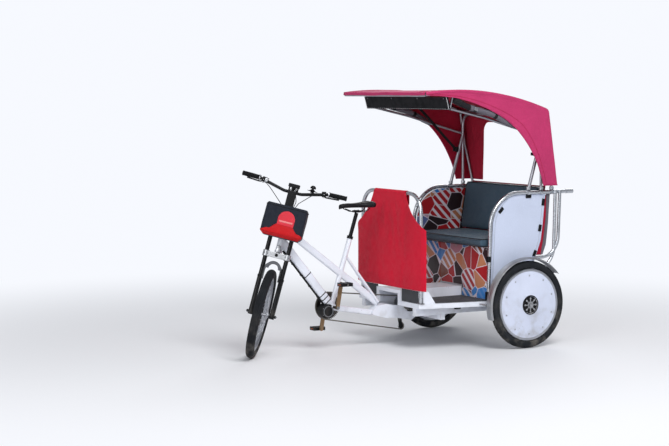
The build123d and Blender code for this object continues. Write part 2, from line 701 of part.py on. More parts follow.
save(down_tube_cables, "down_tube_cables")

# Drive: toothed wheels and two chains laid round them by their tangents


def toothed(plane, teeth, bore_r):
    """A sprocket: a disc with a roller seat between each pair of teeth."""
    pitch_r = CHAIN_PITCH / (2 * sin(pi / teeth))
    with BuildSketch(plane) as sprocket:
        Circle(pitch_r + 2.6)
        with PolarLocations(pitch_r, teeth):
            Circle(4.0, mode=Mode.SUBTRACT)
        if bore_r:
            Circle(bore_r, mode=Mode.SUBTRACT)
    extrude(sprocket.sketch, amount=SPROCKET_T / 2, both=True)


def pitch_radius(teeth):
    return CHAIN_PITCH / (2 * sin(pi / teeth))


def chain_path(wheels):
    """Tangent points and arcs of a chain round wheels given as (y, z, radius, turn)."""
    spans = []
    for first, second in zip(wheels, wheels[1:] + wheels[:1]):
        dy, dz = second[0] - first[0], second[1] - first[1]
        offset = second[3] * second[2] - first[3] * first[2]
        heading = atan2(dz, dy) - asin(offset / hypot(dy, dz))
        left = (-sin(heading), cos(heading))
        start = tuple(first[i] - first[3] * first[2] * left[i] for i in (0, 1))
        end = tuple(second[i] - second[3] * second[2] * left[i] for i in (0, 1))
        spans.append((start, end))
    return spans


def chain(wheels, x):
    """A chain of two rows of side plates, open for the teeth where it wraps a wheel."""
    spans = chain_path(wheels)
    with BuildSketch(Plane.YZ.offset(x)) as loop:
        with BuildLine():
            for index, (start, end) in enumerate(spans):
                Line(start, end)
                y, z, radius, turn = wheels[(index + 1) % len(wheels)]
                leave = spans[(index + 1) % len(spans)][0]
                a0 = degrees(atan2(end[1] - z, end[0] - y))
                a1 = degrees(atan2(leave[1] - z, leave[0] - y))
                sweep_angle = (a1 - a0) % 360 if turn > 0 else -((a0 - a1) % 360)
                CenterArc((y, z), radius, a0, sweep_angle)
        make_face()
    band = offset(loop.sketch, CHAIN_HEIGHT / 2) - offset(loop.sketch, -CHAIN_HEIGHT / 2)
    extrude(band, amount=CHAIN_WIDTH / 2, both=True)
    for y, z, radius, turn in wheels:
        with Locations(Location((x, y, z), (0, 90, 0))):
            Cylinder(radius + CHAIN_HEIGHT, TOOTH_SLOT, mode=Mode.SUBTRACT)


ring_r = pitch_radius(RING_TEETH)
cog_r = pitch_radius(COG_TEETH)
jockey_r = pitch_radius(JOCKEY_TEETH)
jack = (at(-JACKSHAFT_AHEAD), JACKSHAFT_Z)
upper_jockey = (jack[0] - 12, JACKSHAFT_Z - 82)
lower_jockey = (jack[0] + 6, JACKSHAFT_Z - 172)
drive_wheels = [
    (bb[1], bb[2], ring_r, -1),
    (jack[0], jack[1], cog_r, -1),
    (upper_jockey[0], upper_jockey[1], jockey_r, 1),
    (lower_jockey[0], lower_jockey[1], jockey_r, -1),
]
with BuildPart() as drive_chain:
    chain(drive_wheels, CHAIN_X)
save(drive_chain, "drive_chain")

FINAL_TEETH = 18
FINAL_X = 58.0
AXLE_TEETH = 22
final_r = pitch_radius(FINAL_TEETH)
axle_r = pitch_radius(AXLE_TEETH)
final_wheels = [(jack[0], jack[1], final_r, -1), (at(0), WHEEL_R, axle_r, -1)]

with BuildPart() as crankset:
    rod((-CRANK_X, bb[1], bb[2]), (CRANK_X, bb[1], bb[2]), CRANK_SPINDLE_R)
    toothed(Plane(origin=(CHAIN_X, bb[1], bb[2]), x_dir=(0, 1, 0), z_dir=(1, 0, 0)), RING_TEETH, 62)
    angle = radians(CRANK_ANGLE)
    for side in (-1, 1):
        pedal_y = bb[1] + side * CRANK_LENGTH * sin(angle)
        pedal_z = bb[2] + side * CRANK_LENGTH * cos(angle)
        arm = Plane(origin=(side * CRANK_X, bb[1], bb[2]), x_dir=(0, sin(angle), cos(angle)), z_dir=(1, 0, 0))
        with BuildSketch(arm):
            with Locations((side * CRANK_LENGTH / 2, 0)):
                SlotCenterToCenter(CRANK_LENGTH, CRANK_W)
        extrude(amount=CRANK_T / 2, both=True)
        pin_end = side * (CRANK_X + PEDAL_OUT + PEDAL_W / 2 + 4)
        rod((side * CRANK_X, pedal_y, pedal_z), (pin_end, pedal_y, pedal_z), PEDAL_PIN_R)
    for number in range(SPIDER_ARMS):
        turn = 2 * pi * number / SPIDER_ARMS
        reach = (0, cos(turn), sin(turn))
        with BuildSketch(Plane(origin=(CHAIN_X - SPIDER_T - 1, bb[1], bb[2]), x_dir=reach, z_dir=(1, 0, 0))):
            with Locations((SPIDER_REACH / 2, 0)):
                Rectangle(SPIDER_REACH, SPIDER_W)
        extrude(amount=SPIDER_T)
    rod((CHAIN_X - 30, bb[1], bb[2]), (CHAIN_X - 1, bb[1], bb[2]), 20)
save(crankset, "crankset")

for side, side_name in ((1, "left"), (-1, "right")):
    pedal_y = bb[1] + side * CRANK_LENGTH * sin(angle)
    pedal_z = bb[2] + side * CRANK_LENGTH * cos(angle)
    with BuildPart() as pedal:
        pedal_x = side * (CRANK_X + PEDAL_OUT)
        with BuildSketch(Plane(origin=(pedal_x, pedal_y, pedal_z - PEDAL_T / 2))):
            RectangleRounded(PEDAL_W, PEDAL_L, 10)
            with Locations((0, -PEDAL_WINDOW_Y), (0, PEDAL_WINDOW_Y)):
                RectangleRounded(PEDAL_W - 18, PEDAL_WINDOW_W, 4, mode=Mode.SUBTRACT)
        extrude(amount=PEDAL_T)
        with Locations(Location((pedal_x, pedal_y, pedal_z), (0, 90, 0))):
            Cylinder(PEDAL_PIN_R + BEARING_FIT, 2 * PEDAL_W, mode=Mode.SUBTRACT)
    save(pedal, f"pedal_{side_name}")

with BuildPart() as jackshaft:
    rod((CHAIN_X - 14, *jack), (FINAL_X + 10, *jack), JACKSHAFT_R)
    for step, teeth in enumerate(STACK_TEETH):
        stack = Plane(origin=(CHAIN_X + COG_PITCH * (2 - step), *jack), x_dir=(0, 1, 0), z_dir=(1, 0, 0))
        toothed(stack, teeth, 0)
    toothed(Plane(origin=(FINAL_X, *jack), x_dir=(0, 1, 0), z_dir=(1, 0, 0)), FINAL_TEETH, 0)
save(jackshaft, "jackshaft")

with BuildPart() as derailleur:
    for jockey in (upper_jockey, lower_jockey):
        toothed(Plane(origin=(CHAIN_X, *jockey), x_dir=(0, 1, 0), z_dir=(1, 0, 0)), JOCKEY_TEETH, 0)
        rod((CHAIN_X - 9, *jockey), (CHAIN_X + 9, *jockey), 5)
    for plate_x in (CHAIN_X - 9, CHAIN_X + 6):
        with BuildSketch(Plane.YZ.offset(plate_x)):
            with BuildLine():
                Line((lower_jockey[0] - 10, lower_jockey[1] - 4), (upper_jockey[0] - 12, upper_jockey[1]))
                Line((upper_jockey[0] - 12, upper_jockey[1]), (upper_jockey[0] - 2, upper_jockey[1] + 14))
                Line((upper_jockey[0] - 2, upper_jockey[1] + 14), (upper_jockey[0] + 12, upper_jockey[1] + 4))
                Line((upper_jockey[0] + 12, upper_jockey[1] + 4), (lower_jockey[0] + 10, lower_jockey[1]))
                ThreePointArc(
                    (lower_jockey[0] + 10, lower_jockey[1]),
                    (lower_jockey[0] + 1, lower_jockey[1] - 11),
                    (lower_jockey[0] - 10, lower_jockey[1] - 4),
                )
            make_face()
        extrude(amount=3)
    member(
        (CHAIN_X - 13, upper_jockey[0] + 4, upper_jockey[1]),
        (CHAIN_X - 26, jack[0] + 20, jack[1] - 34),
        14,
        24,
        4,
    )
    rod((CHAIN_X - 22, jack[0] + 20, jack[1] - 30), (CHAIN_X - 42, jack[0] + 20, jack[1] - 30), 12)
save(derailleur, "derailleur")

with BuildPart() as final_chain:
    chain(final_wheels, FINAL_X)
save(final_chain, "final_chain")

# Cabin floor: rails that spread from the front corners to the seat, on two deeper under rails
plate_top = WHEEL_R + 60
rail_low = RAIL_TOP_Z - RAIL_H
under_low = rail_low - UNDER_H
front_y = at(-FLOOR_FRONT_AHEAD - RAIL_W / 2)
rear_y = at(-RAIL_END_AHEAD)
side_out = SIDE_X + RAIL_W / 2
floor_plan = [
    (-FLOOR_FRONT_X, front_y),
    (FLOOR_FRONT_X, front_y),
    (side_out, at(-SEAT_FRONT_AHEAD)),
    (side_out, rear_y),
    (-side_out, rear_y),
    (-side_out, at(-SEAT_FRONT_AHEAD)),
]
with BuildPart() as floor_frame:
    with BuildSketch(Plane.XY.offset(rail_low)):
        with BuildLine():
            Polyline(*floor_plan, close=True)
        make_face()
        offset(amount=-RAIL_W, kind=Kind.INTERSECTION, mode=Mode.SUBTRACT)
        with Locations((0, at(-SEAT_FRONT_AHEAD))):
            Rectangle(2 * SIDE_X, RAIL_W)
        with Locations((0, (front_y + rear_y) / 2)):
            Rectangle(2 * HAT_X + RAIL_W, rear_y - front_y)
            Rectangle(2 * HAT_X - RAIL_W, rear_y - front_y, mode=Mode.SUBTRACT)
        with Locations((0, at(REAR_MEMBER_Y))):
            Rectangle(2 * side_out, RAIL_W)
    extrude(amount=RAIL_H)
    with BuildSketch(Plane.XZ.offset(-front_y)):
        with Locations((0, (RAIL_TOP_Z + HAT_Z) / 2)):
            Rectangle(2 * HAT_X + RAIL_W, HAT_Z - RAIL_TOP_Z)
        with Locations((0, (RAIL_TOP_Z + HAT_Z) / 2 - 24)):
            Rectangle(2 * HAT_X - RAIL_W, HAT_Z - RAIL_TOP_Z, mode=Mode.SUBTRACT)
    extrude(amount=-RAIL_W)
    for side in (-1, 1):
        with BuildSketch(Plane.XY.offset(under_low)):
            with Locations((side * UNDER_X, (front_y + at(UNDER_END)) / 2)):
                Rectangle(UNDER_W, at(UNDER_END) - front_y)
        extrude(amount=UNDER_H)
        with BuildSketch(Plane.YZ.offset(side * (SIDE_X + LOOP_R - AXLE_PLATE_T / 2) - AXLE_PLATE_T / 2)):
            with Locations((at(18), plate_top - 50)):
                RectangleRounded(250, 100, 20)
        extrude(amount=AXLE_PLATE_T)
        along = Vector(side * (side_out - FLOOR_FRONT_X), at(-SEAT_FRONT_AHEAD) - front_y, 0).normalized()
        gusset_side = Plane(
            origin=(side * (HOOP_X + HOOP_R / 2), at(-HOOP_AHEAD), 0),
            x_dir=along,
            z_dir=along.cross(Vector(0, 0, 1)),
        )
        with BuildSketch(gusset_side):
            with BuildLine():
                Polyline(
                    (HOOP_R + 1, RAIL_TOP_Z - 1),
                    (HOOP_R + 1, KICK_TOP_Z),
                    (HOOP_R + 1 + GUSSET_TOP, KICK_TOP_Z),
                    (HOOP_R + 1 + GUSSET_FOOT, RAIL_TOP_Z - 1),
                    close=True,
                )
            make_face()
        extrude(amount=GUSSET_T / 2, both=True)
    crosses = ((-CROSS_AHEAD, under_low - CROSS_H, under_low), (UNDER_END - CROSS_W / 2, under_low, rail_low))
    for behind, low, high in crosses:
        with BuildSketch(Plane.XY.offset(low)):
            with Locations((0, at(behind))):
                Rectangle(2 * UNDER_X + UNDER_W, CROSS_W)
        extrude(amount=high - low)
    with Locations(Location((0, at(0), WHEEL_R), (0, 90, 0))):
        Cylinder(BEAM_R + FIT, 2 * side_out + 40, mode=Mode.SUBTRACT)
save(floor_frame, "floor_frame")

tunnel_half = HAT_X - 10
feet = [(side * HOOP_X, at(-HOOP_AHEAD)) for side in (-1, 1)]
feet += [(side * SIDE_X, at(-LOOP_FOOT_AHEAD)) for side in (-1, 1)]
with BuildPart() as floor_board:
    with BuildSketch(Plane.XY.offset(RAIL_TOP_Z + FIT)):
        with BuildLine():
            Polyline(*floor_plan, close=True)
        make_face()
        offset(amount=-RAIL_W + 12, kind=Kind.INTERSECTION, mode=Mode.REPLACE)
        with Locations((0, at(-SEAT_FRONT_AHEAD - 1) + 250)):
            Rectangle(3 * SIDE_X, 500, mode=Mode.SUBTRACT)
        with Locations((0, at(-SEAT_FRONT_AHEAD))):
            Rectangle(2 * (tunnel_half + FIT), 4 * FLOOR_FRONT_AHEAD, mode=Mode.SUBTRACT)
        with Locations((0, front_y)):
            Rectangle(2 * HAT_X + RAIL_W + 2, 2 * RAIL_W + 2, mode=Mode.SUBTRACT)
        with Locations(*feet):
            Circle(LOOP_R + 3, mode=Mode.SUBTRACT)
    extrude(amount=FLOOR_T)
    kick_from = HAT_X + RAIL_W / 2 + FIT
    kick_to = HOOP_X - HOOP_R - FIT
    for side in (-1, 1):
        with BuildSketch(Plane.XZ.offset(-at(-KICK_AHEAD))):
            with Locations((side * (kick_from + kick_to) / 2, (RAIL_TOP_Z + FIT + KICK_TOP_Z) / 2)):
                Rectangle(kick_to - kick_from, KICK_TOP_Z - RAIL_TOP_Z - FIT)
        extrude(amount=-KICK_T)
save(floor_board, "floor_board")

with BuildPart() as chain_tunnel:
    with BuildSketch(Plane.XZ.offset(-(front_y + RAIL_W + FIT))):
        with Locations((0, (RAIL_TOP_Z + FIT + HAT_Z) / 2)):
            Rectangle(2 * tunnel_half, HAT_Z - RAIL_TOP_Z - FIT)
        with Locations((0, (RAIL_TOP_Z + FIT + HAT_Z) / 2 - 3)):
            Rectangle(2 * (tunnel_half - 3), HAT_Z - RAIL_TOP_Z - FIT, mode=Mode.SUBTRACT)
    extrude(amount=-(at(-SEAT_FRONT_AHEAD - 1) - (front_y + RAIL_W + FIT)))
save(chain_tunnel, "chain_tunnel")

with BuildPart() as front_hoop:
    hoop_y = at(-HOOP_AHEAD)
    foot_z = RAIL_TOP_Z + FIT
    bent_tube(
        [
            (-HOOP_X, hoop_y, foot_z),
            (-HOOP_X, hoop_y, HOOP_TOP_Z),
            (HOOP_X, hoop_y, HOOP_TOP_Z),
            (HOOP_X, hoop_y, foot_z),
        ],
        HOOP_BEND,
        HOOP_R,
    )
save(front_hoop, "front_hoop")

apron_top = HOOP_TOP_Z + HOOP_R
with BuildPart() as apron:
    with BuildSketch(Plane.XZ.offset(-(at(-HOOP_AHEAD) - HOOP_R - FIT))):
        with BuildLine():
            Line((-APRON_HALF, APRON_LOW_Z), (APRON_HALF, APRON_LOW_Z))
            Line((APRON_HALF, APRON_LOW_Z), (APRON_HALF, APRON_CORNER_Z))
            ThreePointArc((APRON_HALF, APRON_CORNER_Z), (312, 953), (APRON_TOP_HALF, apron_top))
            Line((APRON_TOP_HALF, apron_top), (-APRON_TOP_HALF, apron_top))
            ThreePointArc((-APRON_TOP_HALF, apron_top), (-312, 953), (-APRON_HALF, APRON_CORNER_Z))
            Line((-APRON_HALF, APRON_CORNER_Z), (-APRON_HALF, APRON_LOW_Z))
        make_face()
    extrude(amount=APRON_T)
save(apron, "apron")

# Cabin sides: a bent front loop with its arm, and two rear tubes that lead down to the axle
BACK_TUBE_X = 474.0
BACK_TUBE_R = 11.0
stay_out = SIDE_X + LOOP_R + FIT + STAY_R
for side, side_name in ((1, "left"), (-1, "right")):
    x = side * SIDE_X
    with BuildPart() as side_frame:
        bent_tube(
            [(x, at(-LOOP_FOOT_AHEAD), RAIL_TOP_Z + 2 * FIT), (x, at(-238), ARM_Z), (x, at(ARM_END), ARM_Z)],
            LOOP_BEND,
            LOOP_R,
        )
        rod((x, at(ARM_END - ARM_CAP_LENGTH), ARM_Z), (x, at(ARM_END), ARM_Z), ARM_CAP_R)
    save(side_frame, f"side_frame_{side_name}")

with BuildPart() as rear_stays:
    for side in (-1, 1):
        x = side * stay_out
        stay_top = ARM_Z + LOOP_R
        bent_tube([(x, at(354), stay_top), (x, at(338), 640), (x, at(120), 634)], 150, STAY_R)
        bent_tube(
            [(x, at(313), stay_top), (x, at(303), 650), (x, at(90), 400), (x, at(90), WHEEL_R)],
            [160, 60],
            STAY_R,
        )
save(rear_stays, "rear_stays")

with BuildPart() as back_frame:
    for side in (-1, 1):
        x = side * BACK_TUBE_X
        bent_tube(
            [
                (x, at(236), ARM_Z - 20),
                (x, at(203), 760),
                (x, at(REAR_MEMBER_Y), 560),
                (x, at(REAR_MEMBER_Y), RAIL_TOP_Z + FIT),
            ],
            [200, 160],
            BACK_TUBE_R,
        )
save(back_frame, "back_frame")

edge = LOOP_R + 3
with BuildPart() as side_panels:
    for side in (-1, 1):
        sheet_x = side * (BACK_TUBE_X + BACK_TUBE_R + FIT) - (SIDE_SHEET_T if side < 0 else 0)
        with BuildSketch(Plane.YZ.offset(sheet_x)):
            with BuildLine():
                FilletPolyline(
                    (at(-LOOP_FOOT_AHEAD + edge), RAIL_TOP_Z + 12),
                    (at(-238 + edge), ARM_Z - edge),
                    (at(240), ARM_Z - edge),
                    (at(205), 760),
                    (at(130), 560),
                    (at(130), RAIL_TOP_Z + 12),
                    radius=[0.0, LOOP_BEND - edge, 10, 200, 160, 10],
                    close=True,
                )
            make_face()
        extrude(amount=SIDE_SHEET_T)
save(side_panels, "side_panels")

# Seat: a hollow box, its cushion, the leaning back and the board behind it
box_top = SEAT_Z
with BuildPart() as seat_box:
    with BuildSketch(Plane.XY.offset(RAIL_TOP_Z + FIT)):
        with Locations((0, at((REAR_MEMBER_Y - SEAT_FRONT_AHEAD) / 2))):
            Rectangle(2 * SEAT_HALF, REAR_MEMBER_Y + SEAT_FRONT_AHEAD)
        with Locations((0, at(-SEAT_FRONT_AHEAD + SEAT_BOARD_T / 2))):
            Rectangle(2 * SEAT_HALF + 36, SEAT_BOARD_T)
        with Locations((0, at((REAR_MEMBER_Y - SEAT_FRONT_AHEAD) / 2))):
            Rectangle(
                2 * (SEAT_HALF - SEAT_BOARD_T),
                REAR_MEMBER_Y + SEAT_FRONT_AHEAD - 2 * SEAT_BOARD_T,
                mode=Mode.SUBTRACT,
            )
    extrude(amount=box_top - RAIL_TOP_Z - FIT)
    with BuildSketch(Plane.XZ.offset(-at(-SEAT_FRONT_AHEAD - 1))):
        Rectangle(2 * (tunnel_half - 3), 2 * (HAT_Z - 3))
    extrude(amount=-3 * SEAT_BOARD_T, mode=Mode.SUBTRACT)
    with BuildSketch(Plane.XY.offset(box_top - SEAT_BOARD_T)):
        with Locations((0, at((REAR_MEMBER_Y - SEAT_FRONT_AHEAD) / 2))):
            Rectangle(2 * SEAT_HALF, REAR_MEMBER_Y + SEAT_FRONT_AHEAD)
    extrude(amount=SEAT_BOARD_T)
save(seat_box, "seat_box")

lean = sin(radians(BACK_LEAN)) / cos(radians(BACK_LEAN))


def back_y(z):
    """Distance behind the axle of the back board's rear face at a height."""
    return BACK_FOOT_Y + (z - SEAT_Z) * lean


cushion_top = SEAT_Z + FIT + CUSHION_T
with BuildPart() as seat_cushion:
    with BuildSketch(Plane.YZ.offset(-SEAT_HALF)):
        with BuildLine():
            FilletPolyline(
                (at(-SEAT_FRONT_AHEAD - CUSHION_OVERHANG), SEAT_Z + FIT),
                (at(-SEAT_FRONT_AHEAD - CUSHION_OVERHANG), cushion_top),
                (at(back_y(cushion_top) - BACK_BOARD_T - 1), cushion_top),
                (at(back_y(SEAT_Z) - BACK_BOARD_T - 1), SEAT_Z + FIT),
                radius=[18, 24, 12, 6],
                close=True,
            )
        make_face()
    extrude(amount=2 * SEAT_HALF)
save(seat_cushion, "seat_cushion")

with BuildPart() as seat_back:
    with BuildSketch(Plane.YZ.offset(-SEAT_HALF)):
        back_low = cushion_top + 1
        with BuildLine():
            FilletPolyline(
                (at(back_y(back_low) - BACK_BOARD_T - FIT), back_low),
                (at(back_y(back_low) - BACK_BOARD_T - FIT - BACK_T), back_low),
                (at(back_y(BACK_TOP_Z) - BACK_BOARD_T - FIT - BACK_T), BACK_TOP_Z),
                (at(back_y(BACK_TOP_Z) - BACK_BOARD_T - FIT), BACK_TOP_Z),
                radius=[6, 16, 24, 12],
                close=True,
            )
        make_face()
    extrude(amount=2 * SEAT_HALF)
save(seat_back, "seat_back")

with BuildPart() as back_board:
    board_low = SEAT_Z - 60
    with BuildSketch(Plane.YZ.offset(-SEAT_HALF)):
        with BuildLine():
            Polyline(
                (at(back_y(board_low)), board_low),
                (at(back_y(BACK_TOP_Z)), BACK_TOP_Z),
                (at(back_y(BACK_TOP_Z) - BACK_BOARD_T), BACK_TOP_Z),
                (at(back_y(board_low) - BACK_BOARD_T), board_low),
                close=True,
            )
        make_face()
    extrude(amount=2 * SEAT_HALF)
save(back_board, "back_board")

# Rear fenders: a rolled arch with two short stays to the cabin side
for side, side_name in ((1, "left"), (-1, "right")):
    start = radians(FENDER_FROM)
    centre = (side * TRACK / 2, at(0), WHEEL_R)
    with BuildPart() as fender:
        section = Plane(origin=centre, x_dir=(0, cos(start), sin(start)), z_dir=(0, sin(start), -cos(start)))
        with BuildSketch(section):
            with BuildLine():
                Polyline(
                    (FENDER_R, -TYRE_R - 4),
                    (FENDER_R + 6, -TYRE_R + 8),
                    (FENDER_R + 6, TYRE_R - 8),
                    (FENDER_R, TYRE_R + 4),
                    (FENDER_R + FENDER_T, TYRE_R + 4),
                    (FENDER_R + 6 + FENDER_T, TYRE_R - 8),
                    (FENDER_R + 6 + FENDER_T, -TYRE_R + 8),
                    (FENDER_R + FENDER_T, -TYRE_R - 4),
                    close=True,
                )
            make_face()
        revolve(axis=Axis(centre, (1, 0, 0)), revolution_arc=FENDER_ARC)
        inner = side * (TRACK / 2 - TYRE_R)
        front_stay = (at(-FENDER_R - 3), rail_low + RAIL_H / 2)
        rear_stay = (at(222), 562)
        rod((side * 491, *front_stay), (inner, *front_stay), FENDER_STAY_R)
        rod((side * (stay_out + STAY_R), *rear_stay), (inner, *rear_stay), FENDER_STAY_R)
    save(fender, f"fender_{side_name}")

# Hood: bows, side rails and the hoop that carries them on the arms


def mirrored_bow(points):
    """The points of a bow: the right half as given, then the left half in return order."""
    return [(-x, y, z) for x, y, z in points] + [(x, y, z) for x, y, z in reversed(points)]


bow_x = HOOD_X - HOOD_T - BOW_R - FIT
arm_top = ARM_Z + LOOP_R + 4
EDGE_DROP = 19.0


def on_roof(point, drop):
    """A point of the roof line, lowered."""
    return (at(point[0]), point[1] - drop)


edge_front = (at(-830), HOOD_FRONT[1] - EDGE_DROP)
edge_crown = on_roof(HOOD_CROWN, EDGE_DROP)
edge_rear = (at(203), HOOD_CORNER[1] - EDGE_DROP)
with BuildPart() as canopy_frame:
    bent_tube(
        mirrored_bow(
            [
                (SIDE_X, at(88), arm_top),
                (SIDE_X, at(CANOPY_HOOP_Y), KNEE_Z),
                (SIDE_X, at(CANOPY_HOOP_Y), CANOPY_HOOP_Z),
            ]
        ),
        [120, 90, 90, 120],
        HOOP2_R,
    )
    bent_tube(
        mirrored_bow([(SIDE_X, at(298), arm_top), (bow_x, at(250), 1420), (bow_x, *edge_rear)]),
        [300, 30, 30, 300],
        BOW_R,
    )
    for y, z in (edge_front, edge_crown):
        rod((-bow_x, y, z), (bow_x, y, z), BOW_R)
    for side in (-1, 1):
        with BuildLine() as edge_line:
            ThreePointArc((side * bow_x, *edge_front), (side * bow_x, *edge_crown), (side * bow_x, *edge_rear))
        with BuildSketch(Plane(origin=edge_line.line @ 0, z_dir=edge_line.line % 0)) as section:
            Circle(BOW_R - 1)
        sweep(section.sketch, path=edge_line.line)
        rail = side * RAIL_X
        bent_tube(
            [
                (rail, at(-SIGN_AHEAD + 4 * FIT), 1716),
                (rail, at(-300), 1644),
                (side * SIDE_X, at(CANOPY_HOOP_Y), KNEE_Z + 6),
            ],
            400,
            BOW_R - 1,
        )
        rod((rail, at(-598), 1712), (side * bow_x, at(-598), edge_crown[1]), BOW_R - 3)
        rod((side * SIDE_X, at(203), arm_top), (side * SIDE_X, at(CANOPY_HOOP_Y), KNEE_Z), BOW_R)
save(canopy_frame, "canopy_frame")

with BuildPart() as hood_roof:
    with BuildSketch(Plane.YZ.offset(-HOOD_X)):
        with BuildLine():
            ThreePointArc(on_roof(HOOD_FRONT, 0), on_roof(HOOD_CROWN, 0), on_roof(HOOD_CORNER, 0))
            Line(on_roof(HOOD_CORNER, 0), on_roof(HOOD_CORNER, HOOD_T))
            ThreePointArc(on_roof(HOOD_CORNER, HOOD_T), on_roof(HOOD_CROWN, HOOD_T), on_roof(HOOD_FRONT, HOOD_T))
            Line(on_roof(HOOD_FRONT, HOOD_T), on_roof(HOOD_FRONT, 0))
        make_face()
    extrude(amount=2 * HOOD_X)
save(hood_roof, "hood_roof")

window = [(-390, 1100), (-275, 1602), (275, 1602), (390, 1100)]
with BuildPart() as hood_back:
    with BuildSketch(Plane.YZ.offset(-HOOD_X)):
        with BuildLine():
            Polyline(
                (at(HOOD_CORNER[0] - HOOD_T), HOOD_CORNER[1] - HOOD_T - 1),
                (at(HOOD_CORNER[0]), HOOD_CORNER[1] - HOOD_T - 1),
                (at(HOOD_FOOT[0]), HOOD_FOOT[1]),
                (at(HOOD_FOOT[0] - HOOD_T), HOOD_FOOT[1]),
                close=True,
            )
        make_face()
    extrude(amount=2 * HOOD_X)
    with BuildSketch(Plane.XZ.offset(-at(0))):
        with BuildLine():
            FilletPolyline(*window, radius=[0.0, 70, 70, 0.0], close=True)
        make_face()
    extrude(amount=-500, mode=Mode.SUBTRACT)
save(hood_back, "hood_back")

with BuildPart() as hood_wings:
    for side in (-1, 1):
        with BuildSketch(Plane.YZ.offset(side * (HOOD_X - HOOD_T / 2) - HOOD_T / 2)):
            drop = HOOD_T + FIT
            back_gap = HOOD_T + FIT
            corner = (at(HOOD_CORNER[0] - back_gap), HOOD_CORNER[1] - HOOD_T - 1)
            foot = (at(HOOD_FOOT[0] - back_gap), HOOD_FOOT[1])
            with BuildLine():
                ThreePointArc(on_roof(HOOD_FRONT, drop), on_roof(HOOD_CROWN, drop), corner)
                Line(corner, foot)
                Line(foot, (at(180), HOOD_FOOT[1]))
                ThreePointArc((at(180), HOOD_FOOT[1]), (at(53), 1433), (at(-150), 1632))
                ThreePointArc((at(-150), 1632), (at(-350), 1722), (at(-567), 1772))
                Line((at(-567), 1772), (at(HOOD_FRONT[0]), 1776))
                Line((at(HOOD_FRONT[0]), 1776), on_roof(HOOD_FRONT, drop))
            make_face()
        extrude(amount=HOOD_T)
save(hood_wings, "hood_wings")

with BuildPart() as curtain_rolls:
    roll_x = HOOD_X - HOOD_T - ROLL_R - FIT
    for side in (-1, 1):
        bent_tube(
            [
                (side * roll_x, at(-583), 1770),
                (side * roll_x, at(-449), 1718),
                (side * roll_x, at(-260), 1668),
                (side * roll_x, at(-88), 1585),
            ],
            [300, 300],
            ROLL_R,
        )
        bundle_x = BACK_TUBE_X + 13 - BUNDLE_T if side > 0 else -BACK_TUBE_X - 13
        bundle_top = ARM_Z - LOOP_R - FIT
        bundle_outline = [
            (at(249), bundle_top),
            (at(297), bundle_top),
            (at(286), 880),
            (at(268), 720),
            (at(236), 652),
            (at(196), 652),
            (at(214), 760),
            (at(238), 930),
        ]
        plate_yz(bundle_outline, bundle_x, BUNDLE_T)
save(curtain_rolls, "curtain_rolls")

with BuildPart() as sign_board:
    with BuildSketch(Plane.YZ.offset(-SIGN_HALF)):
        with BuildLine():
            Polyline(
                (at(-SIGN_AHEAD), SIGN_Z),
                (at(-SIGN_AHEAD - 24), SIGN_Z + SIGN_H),
                (at(-SIGN_AHEAD - 24 - SIGN_T), SIGN_Z + SIGN_H),
                (at(-SIGN_AHEAD - SIGN_T), SIGN_Z),
                close=True,
            )
        make_face()
    extrude(amount=2 * SIGN_HALF)
save(sign_board, "sign_board")

with BuildPart() as tail_lights:
    for side in (-1, 1):
        rod((side * 300, at(UNDER_END) + FIT, rail_low - 24), (side * 300, at(UNDER_END) + 26, rail_low - 24), 26)
save(tail_lights, "tail_lights")
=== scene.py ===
import math

import bmesh
import bpy
import numpy as np
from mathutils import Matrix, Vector
from mathutils.noise import noise as perlin


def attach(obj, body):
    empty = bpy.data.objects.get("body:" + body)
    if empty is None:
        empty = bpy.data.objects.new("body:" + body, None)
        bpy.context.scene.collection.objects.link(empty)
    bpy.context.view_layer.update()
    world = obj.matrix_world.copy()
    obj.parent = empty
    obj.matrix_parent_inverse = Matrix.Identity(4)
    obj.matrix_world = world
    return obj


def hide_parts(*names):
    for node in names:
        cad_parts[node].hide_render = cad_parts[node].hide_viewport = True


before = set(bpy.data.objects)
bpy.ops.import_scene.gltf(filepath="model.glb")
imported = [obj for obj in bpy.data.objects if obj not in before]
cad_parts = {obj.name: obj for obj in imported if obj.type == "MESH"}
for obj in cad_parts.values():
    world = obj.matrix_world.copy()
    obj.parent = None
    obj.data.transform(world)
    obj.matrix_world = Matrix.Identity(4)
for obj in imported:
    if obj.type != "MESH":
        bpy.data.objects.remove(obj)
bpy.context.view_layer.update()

# Cycle rickshaw. Metres, +Z up, the front faces -Y, the vehicle's own left is +X.
X, Y, Z = Vector((1, 0, 0)), Vector((0, 1, 0)), Vector((0, 0, 1))
SIDES = ((1, "left"), (-1, "right"))
AXLE_Y, HUB_X, HUB_Z = 0.782, 0.605, 0.314
CRANK_Y, CRANK_ARM = -1.268, 0.172
SIDE_X, ARM_Z, CLAMP_R = 0.490, 1.105, 0.0143
HEAD, TURN = math.radians(17), math.radians(55)
SX = Vector((math.cos(TURN), math.cos(HEAD) * math.sin(TURN), -math.sin(HEAD) * math.sin(TURN)))
SZ = Vector((0, math.sin(HEAD), math.cos(HEAD)))
SY = SZ.cross(SX)
STEER_FOOT = Vector((0, -1.040835, 0.298691))
HAZE = (0.93, 0.95, 1.0, 1)


def at(x, behind, z):
    """A point given by its distance behind the rear axle."""
    return Vector((x, AXLE_Y + behind, z))


def steered(x, y, z):
    """A point of the steering frame, in the vehicle's frame."""
    return STEER_FOOT + SX * x + SY * y + SZ * z


def add(name, data):
    """A new object in the scene."""
    made = bpy.data.objects.new(name, data)
    bpy.context.scene.collection.objects.link(made)
    return made


